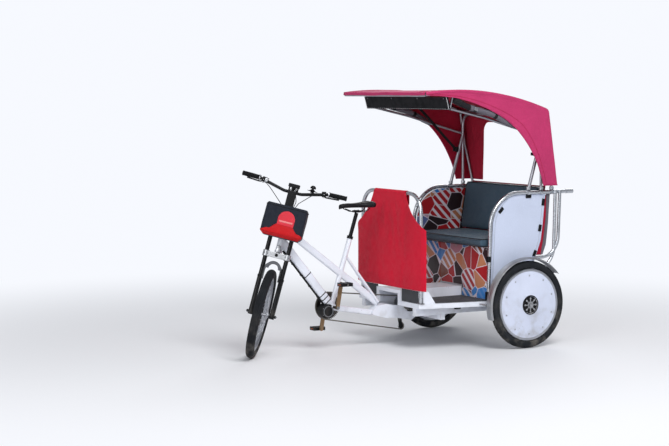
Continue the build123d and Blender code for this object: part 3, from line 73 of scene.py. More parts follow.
camera = add("camera", bpy.data.cameras.new("camera"))
camera.data.sensor_width = 36
camera.data.lens = 89.715
camera.location = (10.0821, -6.4254, 1.8275)
camera.rotation_euler = (math.radians(85.5), 0, math.radians(59.382))
bpy.context.scene.camera = camera
bpy.context.scene.view_settings.view_transform = "Standard"


def srgb(r, g, b):
    """A display colour, 0 to 255, as linear light."""
    return tuple(
        (c / 255 / 12.92 if c <= 10 else ((c / 255 + 0.055) / 1.055) ** 2.4) for c in (r, g, b)
    ) + (1.0,)


def shade(colour, factor, lift=0.0):
    """A darker or lighter colour."""
    return tuple(min(1, c * factor + lift) for c in colour[:3]) + (1,)


def feed(tree, value, socket):
    """Give a socket a plain value, or link another node's output to it."""
    if isinstance(value, bpy.types.NodeSocket):
        tree.links.new(value, socket)
    else:
        socket.default_value = value


def add_node(tree, kind, inputs=(), **settings):
    """The outputs of a new shader node."""
    made = tree.nodes.new("ShaderNode" + kind)
    for key, value in settings.items():
        setattr(made, key, value)
    for key, value in dict(inputs).items():
        feed(tree, value, made.inputs[key])
    return made.outputs


class Finish:
    """A procedural material: layers of colour, roughness and bump on one principled shader."""

    def __init__(self, name, colour, rough, metal=0.0, **sockets):
        self.material = bpy.data.materials.new(name)
        self.material.use_nodes = True
        self.tree = self.material.node_tree
        self.shader = self.tree.nodes["Principled BSDF"]
        self.adjust(base_color=colour, roughness=rough, metallic=metal, **sockets)
        self.coords = self.node("TexCoord")["Object"]

    def adjust(self, **sockets):
        """Set sockets of the shader, named in lower case with underscores."""
        for socket, value in sockets.items():
            title = socket.replace("_", " ").title().replace("Ior", "IOR")
            self.shader.inputs[title].default_value = value

    def node(self, kind, inputs=(), **settings):
        return add_node(self.tree, kind, inputs, **settings)

    def scaled(self, stretch):
        return self.node("Mapping", {"Scale": stretch, "Vector": self.coords})["Vector"]

    def noise(self, scale, detail=3.0, stretch=(1, 1, 1)):
        inputs = {"Scale": scale, "Detail": detail, "Vector": self.scaled(stretch)}
        return self.node("TexNoise", inputs)["Fac"]

    def cells(self, scale, feature="F1", stretch=(1, 1, 1), output="Distance"):
        inputs = {"Scale": scale, "Vector": self.scaled(stretch)}
        return self.node("TexVoronoi", inputs, feature=feature)[output]

    def weave(self, pitch):
        """Crossed threads: one sine across each axis, added up."""
        threads = self.scaled((2 * math.pi / pitch,) * 3)
        sine = self.node("VectorMath", {0: threads}, operation="SINE")[0]
        return self.node("VectorMath", {0: sine, 1: (1, 1, 1)}, operation="DOT_PRODUCT")["Value"]

    def along(self, direction, origin=(0, 0, 0), size=False):
        """Distance from an origin along a direction, or its size."""
        shifted = self.node("VectorMath", {0: self.coords, 1: origin}, operation="SUBTRACT")[0]
        run = self.node("VectorMath", {0: shifted, 1: direction}, operation="DOT_PRODUCT")["Value"]
        return self.node("Math", {0: run}, operation="ABSOLUTE")[0] if size else run

    def band(self, value, low, high):
        """0 below low, 1 above high, smooth between; low above high turns it round."""
        inputs = {"Value": value, "From Min": min(low, high), "From Max": max(low, high)}
        inputs.update({"To Min": float(low >= high), "To Max": float(low < high)})
        return self.node("MapRange", inputs, interpolation_type="SMOOTHSTEP")["Result"]

    def times(self, a, b):
        return self.node("Math", {0: a, 1: b}, operation="MULTIPLY")[0]

    def mixed(self, socket, value, mask, kind="FLOAT"):
        """Lay a value over what a socket of the shader has, where the mask is 1."""
        target = self.shader.inputs[socket]
        under = target.links[0].from_socket if target.is_linked else target.default_value
        a, b, out = (6, 7, 2) if kind == "RGBA" else (2, 3, 0)
        feed(self.tree, self.node("Mix", {0: mask, a: under, b: value}, data_type=kind)[out], target)
        return self

    def tint(self, colour, mask):
        return self.mixed("Base Color", colour, mask, "RGBA")

    def rough(self, value, mask):
        return self.mixed("Roughness", value, mask)

    def plated(self, colour, metal, rough, mask):
        """Another metal where the mask is 1."""
        return self.tint(colour, mask).mixed("Metallic", metal, mask).rough(rough, mask)

    def bump(self, height, distance, strength=1.0):
        """Relief added to what the shader's normal already has."""
        normal = self.shader.inputs["Normal"]
        inputs = {"Height": height, "Distance": distance, "Strength": strength}
        if normal.is_linked:
            inputs["Normal"] = normal.links[0].from_socket
        feed(self.tree, self.node("Bump", inputs)["Normal"], normal)
        return self

    def dust(self, top, amount):
        """Road dust that gathers towards the ground, broken up by noise."""
        low = self.band(self.node("SeparateXYZ", {0: self.coords})["Z"], top, 0.02)
        patches = self.band(self.noise(14, 6), 0.42, 0.75)
        return self.tint(srgb(148, 142, 132), self.times(self.times(low, patches), amount))


def paint(name, colour, chip, rough=0.3):
    """Gloss paint with an orange-peel skin, grime and a few small chips."""
    f = Finish(name, colour, rough, coat_weight=0.35, coat_roughness=0.12)
    f.tint(shade(colour, 0.86), f.band(f.noise(3.5, 5), 0.45, 0.75))
    f.tint(chip, f.times(f.band(f.cells(38), 0.085, 0.05), f.band(f.noise(5, 2), 0.52, 0.6)))
    f.dust(0.5, 0.55)
    f.rough(rough + 0.25, f.band(f.noise(22, 4), 0.5, 0.8))
    return f.bump(f.noise(420, 2), 0.0002, 0.35)


def metal(name, colour, rough, grain=(1, 1, 1), scale=60):
    """Bare metal with drawn or brushed grain and dull patches."""
    f = Finish(name, colour, rough, 1.0)
    f.tint(shade(colour, 0.72), f.band(f.noise(7, 5), 0.5, 0.78))
    f.rough(min(1.0, rough + 0.22), f.band(f.noise(scale, 4, grain), 0.42, 0.7))
    f.dust(0.45, 0.35)
    return f.bump(f.noise(scale * 6, 2, grain), 0.00012, 0.5)


def cloth(name, colour, rough, thread=0.0012, sheen=0.06, fade=0.82, fold=0.0008):
    """Woven or coated cloth: threads, soft shade changes, faint creases."""
    f = Finish(name, colour, rough, sheen_weight=sheen, sheen_roughness=0.4, specular_ior_level=0.22)
    f.tint(shade(colour, fade), f.band(f.noise(2.6, 5), 0.4, 0.72))
    f.tint(shade(colour, 1.12, 0.004), f.band(f.noise(160, 3), 0.55, 0.75))
    f.rough(min(1, rough + 0.15), f.band(f.noise(30, 4), 0.45, 0.7))
    f.bump(f.noise(9, 4), fold * 3, 0.5)
    f.bump(f.noise(60, 3), fold, 0.35)
    return f.bump(f.weave(thread), thread * 0.12, 0.6)


def moulded(name, colour, rough, scale=900, depth=0.0002):
    """Moulded plastic or rubber with a fine grain."""
    f = Finish(name, colour, rough, specular_ior_level=0.32)
    f.tint(shade(colour, 1.4, 0.003), f.band(f.noise(11, 5), 0.45, 0.8))
    f.rough(min(1, rough + 0.18), f.band(f.noise(24, 4), 0.4, 0.7))
    f.dust(0.4, 0.4)
    return f.bump(f.cells(scale), depth, 0.5)


white = paint("frame_white", srgb(222, 226, 236), srgb(96, 92, 90))
zinc = metal("axle_steel", srgb(128, 130, 134), 0.45)
bright = metal("bright_tube", srgb(196, 200, 206), 0.22, (1, 1, 8), 40)
steel = metal("chain_steel", srgb(120, 116, 110), 0.38)
alloy = metal("bar_alloy", srgb(186, 188, 192), 0.28)
rim = metal("rim_alloy", srgb(178, 181, 188), 0.3)
canopy_metal = metal("canopy_tube", srgb(168, 168, 176), 0.34)
fender_metal = metal("fender_metal", srgb(178, 180, 184), 0.3, (8, 1, 1), 50)
black_metal = paint("black_metal", srgb(17, 18, 21), srgb(70, 69, 67), 0.34)
black_plastic = moulded("black_plastic", srgb(17, 18, 21), 0.5)
grip_rubber = moulded("grip_rubber", srgb(18, 19, 22), 0.75, 600, 0.0004)
tyre_rubber = moulded("tyre_rubber", srgb(29, 31, 35), 0.78, 420, 0.0004)
floor_rubber = moulded("floor_mat", srgb(62, 64, 68), 0.7, 260, 0.0006)
saddle_skin = moulded("saddle_black", srgb(18, 18, 22), 0.42, 480, 0.0003)
cover_skin = paint("cover_white", srgb(206, 213, 232), srgb(120, 122, 126), 0.36)
box_skin = paint("seat_board", srgb(205, 208, 214), srgb(120, 108, 92), 0.45)
sign_skin = moulded("sign_black", srgb(8, 9, 15), 0.5, 1500, 0.00004)
crimson = cloth("apron_cloth", srgb(206, 8, 46), 0.6)
# Hood cloth: faded red fabric, its colour shifted bluish-pink as a painted reflection of blue sky light.
hood_out = cloth("hood_cloth", srgb(184, 50, 100), 0.6, fade=0.88)
# Hood lining: dark red cloth, made brighter as painted light shining through the hood; the stitches, seams,
# bindings and the red strip behind the seat share it.
hood_in = cloth("hood_lining", srgb(166, 20, 50), 0.7)
seat_skin = cloth("seat_vinyl", srgb(62, 84, 100), 0.42, 0.0022, 0.1)
# White side vinyl, darkened and turned bluish as painted shade under blue sky light.
side_skin = cloth("side_vinyl", srgb(198, 207, 228), 0.4, 0.0016, 0.05, 0.93)
roll_skin = cloth("curtain_cloth", srgb(98, 95, 104), 0.5, 0.0014)
webbing = cloth("black_webbing", srgb(22, 22, 25), 0.7, 0.003, 0.15)
bag_skin = cloth("bag_cloth", srgb(24, 30, 42), 0.62, 0.0018)
bag_red = cloth("bag_red", srgb(186, 6, 16), 0.45, 0.0018)
bag_patch = cloth("bag_patch", srgb(206, 48, 62), 0.4, 0.0018)
bag_stripe = cloth("bag_stripe", srgb(226, 132, 132), 0.4, 0.0018)
white_edge = cloth("sign_edge", srgb(226, 226, 230), 0.5)
brace_grey = moulded("brace_grey", srgb(92, 95, 102), 0.5)
frame_red = paint("frame_red", srgb(122, 22, 40), srgb(70, 60, 60), 0.45)
board_red = cloth("board_red", srgb(140, 20, 40), 0.6)
for finish in (black_metal, black_plastic, sign_skin, saddle_skin, tyre_rubber, grip_rubber):
    finish.adjust(specular_ior_level=0.16, coat_weight=0.04)
dark_end = roll_skin.band(roll_skin.along(Y, (0, AXLE_Y, 0)), -0.452, -0.458)
roll_skin.tint(srgb(24, 22, 27), dark_end)

lens_red = Finish("lamp_red", srgb(150, 8, 12), 0.2, transmission_weight=0.35, coat_weight=0.5)
lens_red.bump(lens_red.cells(260, stretch=(1, 0.2, 1)), 0.0008, 0.8)
lens_red.tint(srgb(90, 2, 6), lens_red.band(lens_red.cells(130), 0.1, 0.5))
amber = Finish("amber_reflector", srgb(140, 60, 10), 0.2, coat_weight=0.5)
amber.bump(amber.cells(420), 0.0006, 0.8)

# The made-up print: tiles of a few colours with pale joints, some of them striped
TILES, TILE_STRETCH = 7.5, (1, 1, 1.2)
printed = Finish("seat_print", srgb(66, 138, 214), 0.38)
tone = printed.node("SeparateColor", {0: printed.cells(TILES, stretch=TILE_STRETCH, output="Color")})
for part, low, colour in (
    ("Red", 0.30, srgb(126, 62, 38)),
    ("Red", 0.50, srgb(214, 206, 226)),
    ("Red", 0.66, srgb(196, 132, 96)),
    ("Green", 0.70, srgb(176, 26, 34)),
    ("Blue", 0.78, srgb(44, 30, 34)),
):
    printed.tint(colour, printed.band(tone[part], low, low + 0.01))
waves = printed.node("TexWave", {"Scale": 9.0, "Vector": printed.coords}, bands_direction="DIAGONAL")
stripes = printed.times(printed.band(waves["Fac"], 0.6, 0.64), printed.band(tone["Blue"], 0.34, 0.3))
printed.tint(srgb(232, 230, 240), stripes)
joints = printed.cells(TILES, "DISTANCE_TO_EDGE", TILE_STRETCH)
printed.tint(srgb(228, 226, 236), printed.band(joints, 0.022, 0.018))
printed.bump(printed.noise(70, 3), 0.0006, 0.3)
printed.rough(0.55, printed.band(printed.noise(20, 4), 0.5, 0.7))

# The fork is one node: a bright lower crown and a grey middle part on black legs
fork_skin = paint("fork_black", srgb(17, 18, 21), srgb(70, 69, 67), 0.34)
fork_skin.adjust(specular_ior_level=0.2, coat_weight=0.06)
rise = fork_skin.along(SZ, STEER_FOOT)
crown = fork_skin.times(fork_skin.band(rise, 0.395, 0.397), fork_skin.band(rise, 0.436, 0.434))
fork_skin.plated(srgb(176, 178, 182), 0.9, 0.36, crown)
arch = fork_skin.times(fork_skin.band(rise, 0.236, 0.24), fork_skin.band(rise, 0.372, 0.366))
middle_part = fork_skin.band(fork_skin.along(SX, STEER_FOOT, True), 0.058, 0.055)
fork_skin.plated(srgb(92, 94, 98), 0.3, 0.45, fork_skin.times(arch, middle_part))

crank_skin = metal("crank_alloy", srgb(150, 122, 92), 0.36)
inboard = crank_skin.band(crank_skin.along(X, size=True), 0.076, 0.074)
crank_skin.plated(srgb(86, 82, 78), 1.0, 0.4, inboard)

# The stage's floor fades into the backdrop away from the vehicle
floor_skin = Finish("stage_floor", srgb(226, 227, 230), 0.8)
floor_skin.bump(floor_skin.noise(30, 4), 0.0004, 0.2)
haze = floor_skin.node("Emission", {"Color": HAZE})[0]
reach = floor_skin.node("VectorMath", {0: floor_skin.coords}, operation="LENGTH")["Value"]
seen_floor = floor_skin.node("LightPath")["Is Camera Ray"]
far = floor_skin.times(floor_skin.band(reach, 1.6, 5.5), seen_floor)
blend = floor_skin.node("MixShader", {0: far, 1: floor_skin.shader.outputs[0], 2: haze})[0]
feed(floor_skin.tree, blend, floor_skin.tree.nodes["Material Output"].inputs["Surface"])


# Pieces and modifiers


def piece(name, shape, body, finish, stands_for="", sharp=40, inside=None):
    """One visible piece from a shape or a list of shapes, riding on a body."""
    points, faces = [], []
    for part_points, part_faces in shape if isinstance(shape, list) else [shape]:
        base = len(points)
        points += [tuple(p) for p in part_points]
        faces += [tuple(base + i for i in face) for face in part_faces]
    mesh = bpy.data.meshes.new(name)
    mesh.from_pydata(points, [], faces)
    mesh.materials.append(finish.material)
    if inside:
        mesh.materials.append(inside.material)
    mesh.shade_smooth()
    mesh.set_sharp_from_angle(angle=math.radians(sharp))
    made = add(name, mesh)
    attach(made, body)
    if stands_for:
        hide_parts(*stands_for.split())
    return made


def modifier(made, kind, **settings):
    added = made.modifiers.new(kind.lower(), kind)
    for key, value in settings.items():
        setattr(added, key, value)
    return added


def smoothed(made):
    modifier(made, "SUBSURF", levels=1, render_levels=1)


def fitting(name, shape, body, finish, stands_for=""):
    """A small hard piece, crisp at its corners."""
    piece(name, shape, body, finish, stands_for, 35)


def bead(name, line, radius, finish, body="chassis", sides=8, closed=False):
    """A round edge, seam or piping along a line."""
    piece(name, pipe(line, radius, sides, closed=closed), body, finish, sharp=60)


def skin(
    name, rows, finish, slot, thick, stands_for="", body="chassis", inside=None, flip=False, smooth=True
):
    """A sheet of cloth from rows of points, given a thickness behind its outer face, and its area."""
    shape = [p for row in rows for p in row], grid_faces(len(rows), len(rows[0]), flip=flip)
    made = piece(name, shape, body, finish, stands_for, 180, inside)
    area = round(sum(face.area for face in made.data.polygons), 3)
    if smooth:
        smoothed(made)
    inner = 1 if inside else 0
    modifier(made, "SOLIDIFY", thickness=thick, offset=-1, material_offset=inner, material_offset_rim=0)
    return made, area


# Shapes: each is (points, faces)


def grid_faces(rows, columns, closed=False, flip=False):
    faces = []
    for i in range(rows - 1):
        for j in range(columns if closed else columns - 1):
            k = (j + 1) % columns
            face = (i * columns + j, i * columns + k, (i + 1) * columns + k, (i + 1) * columns + j)
            faces.append(face[::-1] if flip else face)
    return faces


def shell(rings, flip=False):
    """A skin over closed rings of points, capped at both ends."""
    count, last = len(rings[0]), (len(rings) - 1) * len(rings[0])
    faces = grid_faces(len(rings), count, True)
    faces += [tuple(range(count))[::-1], tuple(range(last, last + count))]
    return [p for ring in rings for p in ring], [face[::-1] for face in faces] if flip else faces


def slab(centre, size, axes=(X, Y, Z), edge=0.0015):
    """A block with rounded edges, its sides along the three axes."""
    mesh = bmesh.new()
    bmesh.ops.create_cube(mesh, size=1)
    for v in mesh.verts:
        v.co = Vector(v.co[i] * size[i] for i in range(3))
    if edge:
        bmesh.ops.bevel(mesh, geom=mesh.edges[:], offset=edge, segments=2, affect="EDGES", profile=0.5)
    mesh.verts.index_update()
    points = [Vector(centre) + axes[0] * v.co.x + axes[1] * v.co.y + axes[2] * v.co.z for v in mesh.verts]
    faces = [tuple(v.index for v in f.verts) for f in mesh.faces]
    mesh.free()
    return points, faces


def across(axis):
    """An axis made one long, and two directions square to it."""
    axis = Vector(axis).normalized()
    first = axis.cross(Z if abs(axis.z) < 0.9 else X).normalized()
    return axis, first, axis.cross(first)


def round_turns(count, shift=0.0):
    """Even angles round a circle."""
    return [2 * math.pi * (k + shift) / count for k in range(count)]


def fan(u, v, count, shift=0.0):
    """Even directions round a circle, from u towards v."""
    return [u * math.cos(a) + v * math.sin(a) for a in round_turns(count, shift)]


def turned(profile, origin, axis, segments=48, first=None, arc=2 * math.pi, begin=0.0):
    """A profile of (radius, along) points turned about an axis, whole or in part."""
    axis, u, v = across(axis)
    if first is not None:
        u = Vector(first).normalized()
        v = axis.cross(u)
    steps = segments if arc > 6.28 else segments + 1
    points = []
    for i in range(steps):
        a = begin + arc * i / segments
        spoke = u * math.cos(a) + v * math.sin(a)
        points += [Vector(origin) + spoke * r + axis * s for r, s in profile]
    n = len(profile)
    faces = []
    for i in range(segments):
        k = (i + 1) % steps
        faces += [(i * n + j, k * n + j, k * n + j + 1, i * n + j + 1) for j in range(n - 1)]
    return points, faces


def ring(centre, axis, inner, outer, half):
    """A band round a tube."""
    profile = [(inner, -half), (outer, -half), (outer, half), (inner, half), (inner, -half)]
    return turned(profile, centre, axis, 28)


def smooth_line(points, steps=8):
    """A smooth line through the points."""
    p = [Vector(q) for q in points]
    p = [p[0] * 2 - p[1]] + p + [p[-1] * 2 - p[-2]]
    line = []
    for a, b, c, d in zip(p, p[1:], p[2:], p[3:]):
        for t in (k / steps for k in range(steps)):
            bend, twist = 2 * a - 5 * b + 4 * c - d, 3 * b - a - 3 * c + d
            line.append(0.5 * (2 * b + (c - a) * t + bend * t * t + twist * t**3))
    line.append(p[-2])
    return line


def signed(value, power):
    """A power that keeps the sign: it makes a circle's sine and cosine squarer."""
    return math.copysign(abs(value) ** power, value)


def pipe(points, radius, sides=12, width=None, facing=None, closed=False):
    """A tube along a line; with a width it is a flat strap whose broad side looks along facing."""
    points = [Vector(p) for p in points]
    n = len(points)
    rings = []
    normal = None
    for i, p in enumerate(points):
        before = points[i - 1] if i or closed else p
        after = points[(i + 1) % n] if i < n - 1 or closed else p
        along = (after - before).normalized()
        if facing is not None:
            normal = Vector(facing[i] if isinstance(facing, list) else facing)
        if normal is None:
            normal = across(along)[1]
        else:
            normal = (normal - along * along.dot(normal)).normalized()
        side = along.cross(normal)
        r = radius[i] if isinstance(radius, list) else radius
        wide, power = (width / 2, 0.5) if width else (r, 1)
        turns = round_turns(sides)
        ring_at = [(signed(math.cos(a), power) * wide, signed(math.sin(a), power) * r) for a in turns]
        rings.append([p + side * c + normal * s for c, s in ring_at])
    if not closed:
        return shell(rings)
    faces = [tuple(v % (n * sides) for v in face) for face in grid_faces(n + 1, sides, True)]
    return [p for ring in rings for p in ring], faces


def bolt(origin, axis, radius=0.006, rise=0.004):
    """A domed bolt head on a washer, its round socket sunk in."""
    washer = [(radius * 1.5, 0), (radius * 1.5, 0.001), (radius, 0.0012)]
    crown = [(radius * 0.95, rise * 0.7), (radius * 0.7, rise), (radius * 0.45, rise)]
    socket = [(radius * 0.4, rise * 0.5), (0.0001, rise * 0.5)]
    return turned(washer + crown + socket, origin, axis, 12)


def mirrored(half):
    """A line up the right side and down the left, from the left side's points."""
    return [(-x, *rest) for x, *rest in half] + half[::-1]


def ripple(p, scale, size, seed=0.0):
    """Smooth noise at a point, from -size to size."""
    return perlin(Vector((p[0] * scale + seed, p[1] * scale, p[2] * scale + 2 * seed))) * size


def ease(t):
    t = max(0.0, min(1.0, t))
    return t * t * (3 - 2 * t)


# Carried-over CAD nodes and their finishes
NODE_FINISH = {
    white: "floor_frame chain_tunnel boom bike_frame",
    canopy_metal: "canopy_frame",
    zinc: "rear_axle jackshaft",
    frame_red: "back_frame",
    board_red: "back_board",
    fender_metal: "fender_left fender_right",
    bright: "front_hoop side_frame_left side_frame_right rear_stays",
    steel: "drive_chain final_chain",
    rim: "front_wheel rear_wheel_left rear_wheel_right",
    crank_skin: "crankset",
    fork_skin: "fork",
    black_metal: "handlebar derailleur seat_post",
    black_plastic: "motor bar_controls pedal_left pedal_right control_cables down_tube_cables",
    floor_rubber: "floor_board",
    box_skin: "seat_box",
    cover_skin: "wheel_cover_left wheel_cover_right",
    sign_skin: "sign_board",
    lens_red: "tail_lights",
}
for finish, names in NODE_FINISH.items():
    for name in names.split():
        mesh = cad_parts[name].data
        mesh.materials.clear()
        mesh.materials.append(finish.material)

# Wheels: tyres, and the rear covers' fixings, trim and hubs
HUB_FRONT = Vector((0.034404, -1.063873, 0.305735))
WHEELS = [("front", HUB_FRONT, SX, "front_wheel_set", "front_tyre")] + [
    (name, at(s * HUB_X, 0, HUB_Z), X * s, "rear_wheel_set_" + name, "rear_tyre_" + name) for s, name in SIDES
]
TUBE_CENTRE, TUBE_R = 0.284, 0.0285


def tyre_profile(grooves):
    """Tyre section from bead to bead, with sidewall lines and tread grooves at their angles."""
    profile = []
    for degrees in range(-150, 151, 5):
        r = TUBE_R
        if any(abs(abs(degrees) - groove) < 2.6 for groove in grooves):
            r -= 0.0022
        if abs(degrees) in (100, 125):
            r += 0.0009
        phi = math.radians(degrees)
        profile.append((TUBE_CENTRE + r * math.cos(phi), 1.04 * r * math.sin(phi)))
    return profile


def tread(origin, axis, rows, around, block, slant):
    """Rows of small tread blocks round the tyre, each row at its angle on the section."""
    axis, u, v = across(axis)
    points, faces = [], []
    for row, phi in enumerate(map(math.radians, rows)):
        lean = slant * ((phi > 0) - (phi < 0))
        for spoke in fan(u, v, around, 0.5 * (row % 2)):
            tangent = axis.cross(spoke)
            out = spoke * math.cos(phi) + axis * math.sin(phi)
            side = axis * math.cos(phi) - spoke * math.sin(phi)
            foot = Vector(origin) + spoke * TUBE_CENTRE + out * (TUBE_R - 0.0006)
            base = len(points)
            for top, b, a in ((c, b, a) for c in (0, 1) for b in (-1, 1) for a in (-1, 1)):
                grow = 1 - 0.18 * top
                along, wide = a * block[0] / 2 * grow, b * block[1] / 2 * grow
                points.append(foot + tangent * (along + lean * wide) + side * wide + out * (top * block[2]))
            for f in ((4, 5, 7, 6), (0, 1, 5, 4), (1, 3, 7, 5), (3, 2, 6, 7), (2, 0, 4, 6)):
                faces.append(tuple(base + i for i in f))
    return points, faces


for name, hub, axle, body, node in WHEELS:
    if name == "front":
        grooves, blocks = (12, 38), ((-56, -38, -19, 0, 19, 38, 56), 92, (0.0125, 0.0078, 0.0021), 0.5)
    else:
        grooves, blocks = (8, 22), ((-52, -34, 34, 52), 120, (0.0095, 0.0085, 0.0016), 0.6)
    tyre = [turned(tyre_profile(grooves), hub, axle, 144), tread(hub, axle, *blocks)]
    piece(node + "_rubber", tyre, body, tyre_rubber, node, 30)
    if name == "front":
        continue
    on_cover = hub + axle * (0.0213 + 0.0195 * 0.030 / 0.175)
    fixings = [bolt(on_cover + spoke * 0.209, axle, 0.0042, 0.0025) for spoke in fan(Y, Z, 10, 0.5)]
    piece("cover_fixings_" + name, fixings, body, rim)
    lip = [(0.0625, 0.0375), (0.0615, 0.0415), (0.066, 0.0425), (0.0695, 0.0415), (0.0690, 0.0385)]
    trim = [(0.2395, 0.0209), (0.2405, 0.0228), (0.2475, 0.0232)]
    trim += [(0.2555, 0.0222), (0.2575, 0.0195), (0.2575, 0.0165)]
    dish = [(0.0001, 0.0385), (0.020, 0.0385), (0.052, 0.0365), (0.0600, 0.0385)]
    cap = [(0.0001, 0.0575), (0.008, 0.0572), (0.0135, 0.054), (0.0155, 0.048), (0.0155, 0.044)]
    collar = [(0.0150, 0.040), (0.0150, 0.043), (0.0235, 0.043), (0.0250, 0.0405), (0.0250, 0.038)]
    star = []
    for spoke in fan(Y, Z, 8):
        axes = (spoke, axle.cross(spoke), axle)
        star.append(slab(hub + spoke * 0.036 + axle * 0.0395, (0.030, 0.007, 0.004), axes, 0.0012))
        star.append(bolt(hub + spoke * 0.047 + axle * 0.0400, axle, 0.0045, 0.003))
    star.append(turned(collar, hub, axle, 48))
    piece("hub_star_" + name, star, body, alloy)
    piece("cover_hole_edge_" + name, turned(lip, hub, axle, 64), body, black_plastic)
    piece("cover_trim_" + name, turned(trim, hub, axle, 96), body, rim)
    piece("hub_dish_" + name, turned(dish, hub, axle, 64), body, black_plastic)
    piece("axle_cap_" + name, turned(cap, hub, axle, 32), "chassis", alloy)


# Hood: one sheet from the front hem over the bows to the foot, with a wing each side


def arc_through(a, b, c, count):
    """Points along the arc through three (y, z) points."""
    (ax, ay), (bx, by), (cx, cy) = a, b, c
    d = 2 * (ax * (by - cy) + bx * (cy - ay) + cx * (ay - by))
    aa, bb, cc = ax**2 + ay**2, bx**2 + by**2, cx**2 + cy**2
    ux = (aa * (by - cy) + bb * (cy - ay) + cc * (ay - by)) / d
    uy = (aa * (cx - bx) + bb * (ax - cx) + cc * (bx - ax)) / d
    r = math.hypot(ax - ux, ay - uy)
    t0, tb, t1 = (math.atan2(y - uy, x - ux) for x, y in (a, b, c))
    if not min(t0, t1) <= tb <= max(t0, t1):
        t1 += 2 * math.pi if t1 < t0 else -2 * math.pi
    return [(ux + r * math.cos(t), uy + r * math.sin(t)) for t in np.linspace(t0, t1, count + 1)]


def path_runs(line):
    """How far along a line of (y, z) points each point lies."""
    return np.concatenate([[0], np.cumsum(np.hypot(*np.diff(line, axis=0).T))])


def resample(line, count):
    """The same line as evenly spaced (y, z) points."""
    line = np.array(line)
    run = path_runs(line)
    even = np.linspace(0, run[-1], count)
    return np.stack([np.interp(even, run, line[:, i]) for i in (0, 1)], 1)


HOOD_X, EDGE_R = 0.550, 0.012
HEM_Y, BOW_Y, CORNER, FOOT = -0.847, -0.382, np.array((0.227, 1.703)), np.array((0.311, 1.157))
WINDOW_TOP, WINDOW_R = 1.602, 0.07


def window_half(z):
    """Half width of the rear window at a height."""
    drop = WINDOW_TOP - z
    side = 0.275 + drop * 0.115 / 0.502
    if drop < WINDOW_R:
        side -= WINDOW_R - math.sqrt(max(0.0, WINDOW_R**2 - (WINDOW_R - drop) ** 2))
    return side


roof = arc_through((HEM_Y, 1.826), (BOW_Y, 1.837), CORNER, 46)[:-1]
down = (FOOT - CORNER) / np.linalg.norm(FOOT - CORNER)
bend = [
    (1 - t) ** 2 * np.array(roof[-1]) + 2 * t * (1 - t) * CORNER + t * t * (CORNER + down * 0.024)
    for t in (0.2, 0.4, 0.6, 0.8, 1.0)
]
drops = [1.66, 1.64, 1.62, WINDOW_TOP, 1.5995, 1.592, 1.58, 1.562, 1.54, *np.linspace(1.515, 1.157, 15)]
outer = roof + bend + [CORNER + down * (CORNER[1] - z) / -down[1] for z in drops]
inner = resample(
    [(HEM_Y, 1.806), (-0.723, 1.802), (-0.580, 1.787)]
    + arc_through((-0.580, 1.787), (-0.350, 1.724), (-0.150, 1.632), 14)[1:]
    + arc_through((-0.150, 1.632), (0.053, 1.433), (0.180, 1.157), 30)[1:],
    len(outer),
)
WING_STEPS, SIDE_STEPS, MID_STEPS = 10, 10, 24
back_from = len(roof) + len(bend)


def hood_row(i):
    """(x, y, z) across the hood at one step of its outline: wing, edge, top, edge, wing."""
    o, w = np.array(outer[i]), np.array(inner[i])
    inward = (w - o) / np.linalg.norm(w - o)
    half = window_half(o[1]) if i >= back_from and o[1] <= WINDOW_TOP else 0.205
    left = [(HOOD_X, *(w + (o + inward * EDGE_R - w) * k / WING_STEPS)) for k in range(WING_STEPS)]
    for a in np.radians((0, 30, 60, 90)):
        spot = o + inward * EDGE_R * (1 - math.sin(a))
        left.append((HOOD_X - EDGE_R * (1 - math.cos(a)), *spot))
    for k in range(1, SIDE_STEPS + 1):
        left.append((HOOD_X - EDGE_R + (half - HOOD_X + EDGE_R) * k / SIDE_STEPS, *o))
    middle = [(half - 2 * half * k / MID_STEPS, *o) for k in range(1, MID_STEPS)]
    return left + middle + [(-x, y, z) for x, y, z in reversed(left)]


def hood_point(i, x, y, z):
    """A point of the hood with its sag, slack and ripples."""
    p = at(x, y, z)
    on_side = abs(x) > HOOD_X - 0.002
    if y < -0.497:
        p.y -= 0.010 * (abs(x) / HOOD_X) ** 5 * (y + 0.497) / 0.35
    if i < len(roof) and on_side:
        depth = max(0.0, 1 - abs(z - inner[i][1]) / 0.25) if z < outer[i][1] - 0.02 else 0
        p.x += math.copysign(ripple((y * 1.2, z * 3.2, 0), 4.2, 0.007, 3.1), x)
        p.x -= math.copysign(0.006 * depth, x)
    elif i < len(roof):
        share = (y - HEM_Y) / (BOW_Y - HEM_Y) if y < BOW_Y else (y - BOW_Y) / (CORNER[0] - BOW_Y)
        flat = 1 - (abs(x) / HOOD_X) ** 4
        p.z -= 0.011 * math.sin(math.pi * min(1, max(0, share))) * flat
        p.z += ripple((x, y * 0.5, 0), 5.5, 0.004, 7.7) * flat
    elif on_side:
        p.x += math.copysign(ripple((y * 2.4, z * 1.0, 0), 5.0, 0.006, 1.3), x)
    elif abs(x) < HOOD_X - EDGE_R - 0.001:
        p.y += ripple((x * 1.8, 0, z * 0.6), 6.0, 0.006, 5.1) - 0.002
    return p


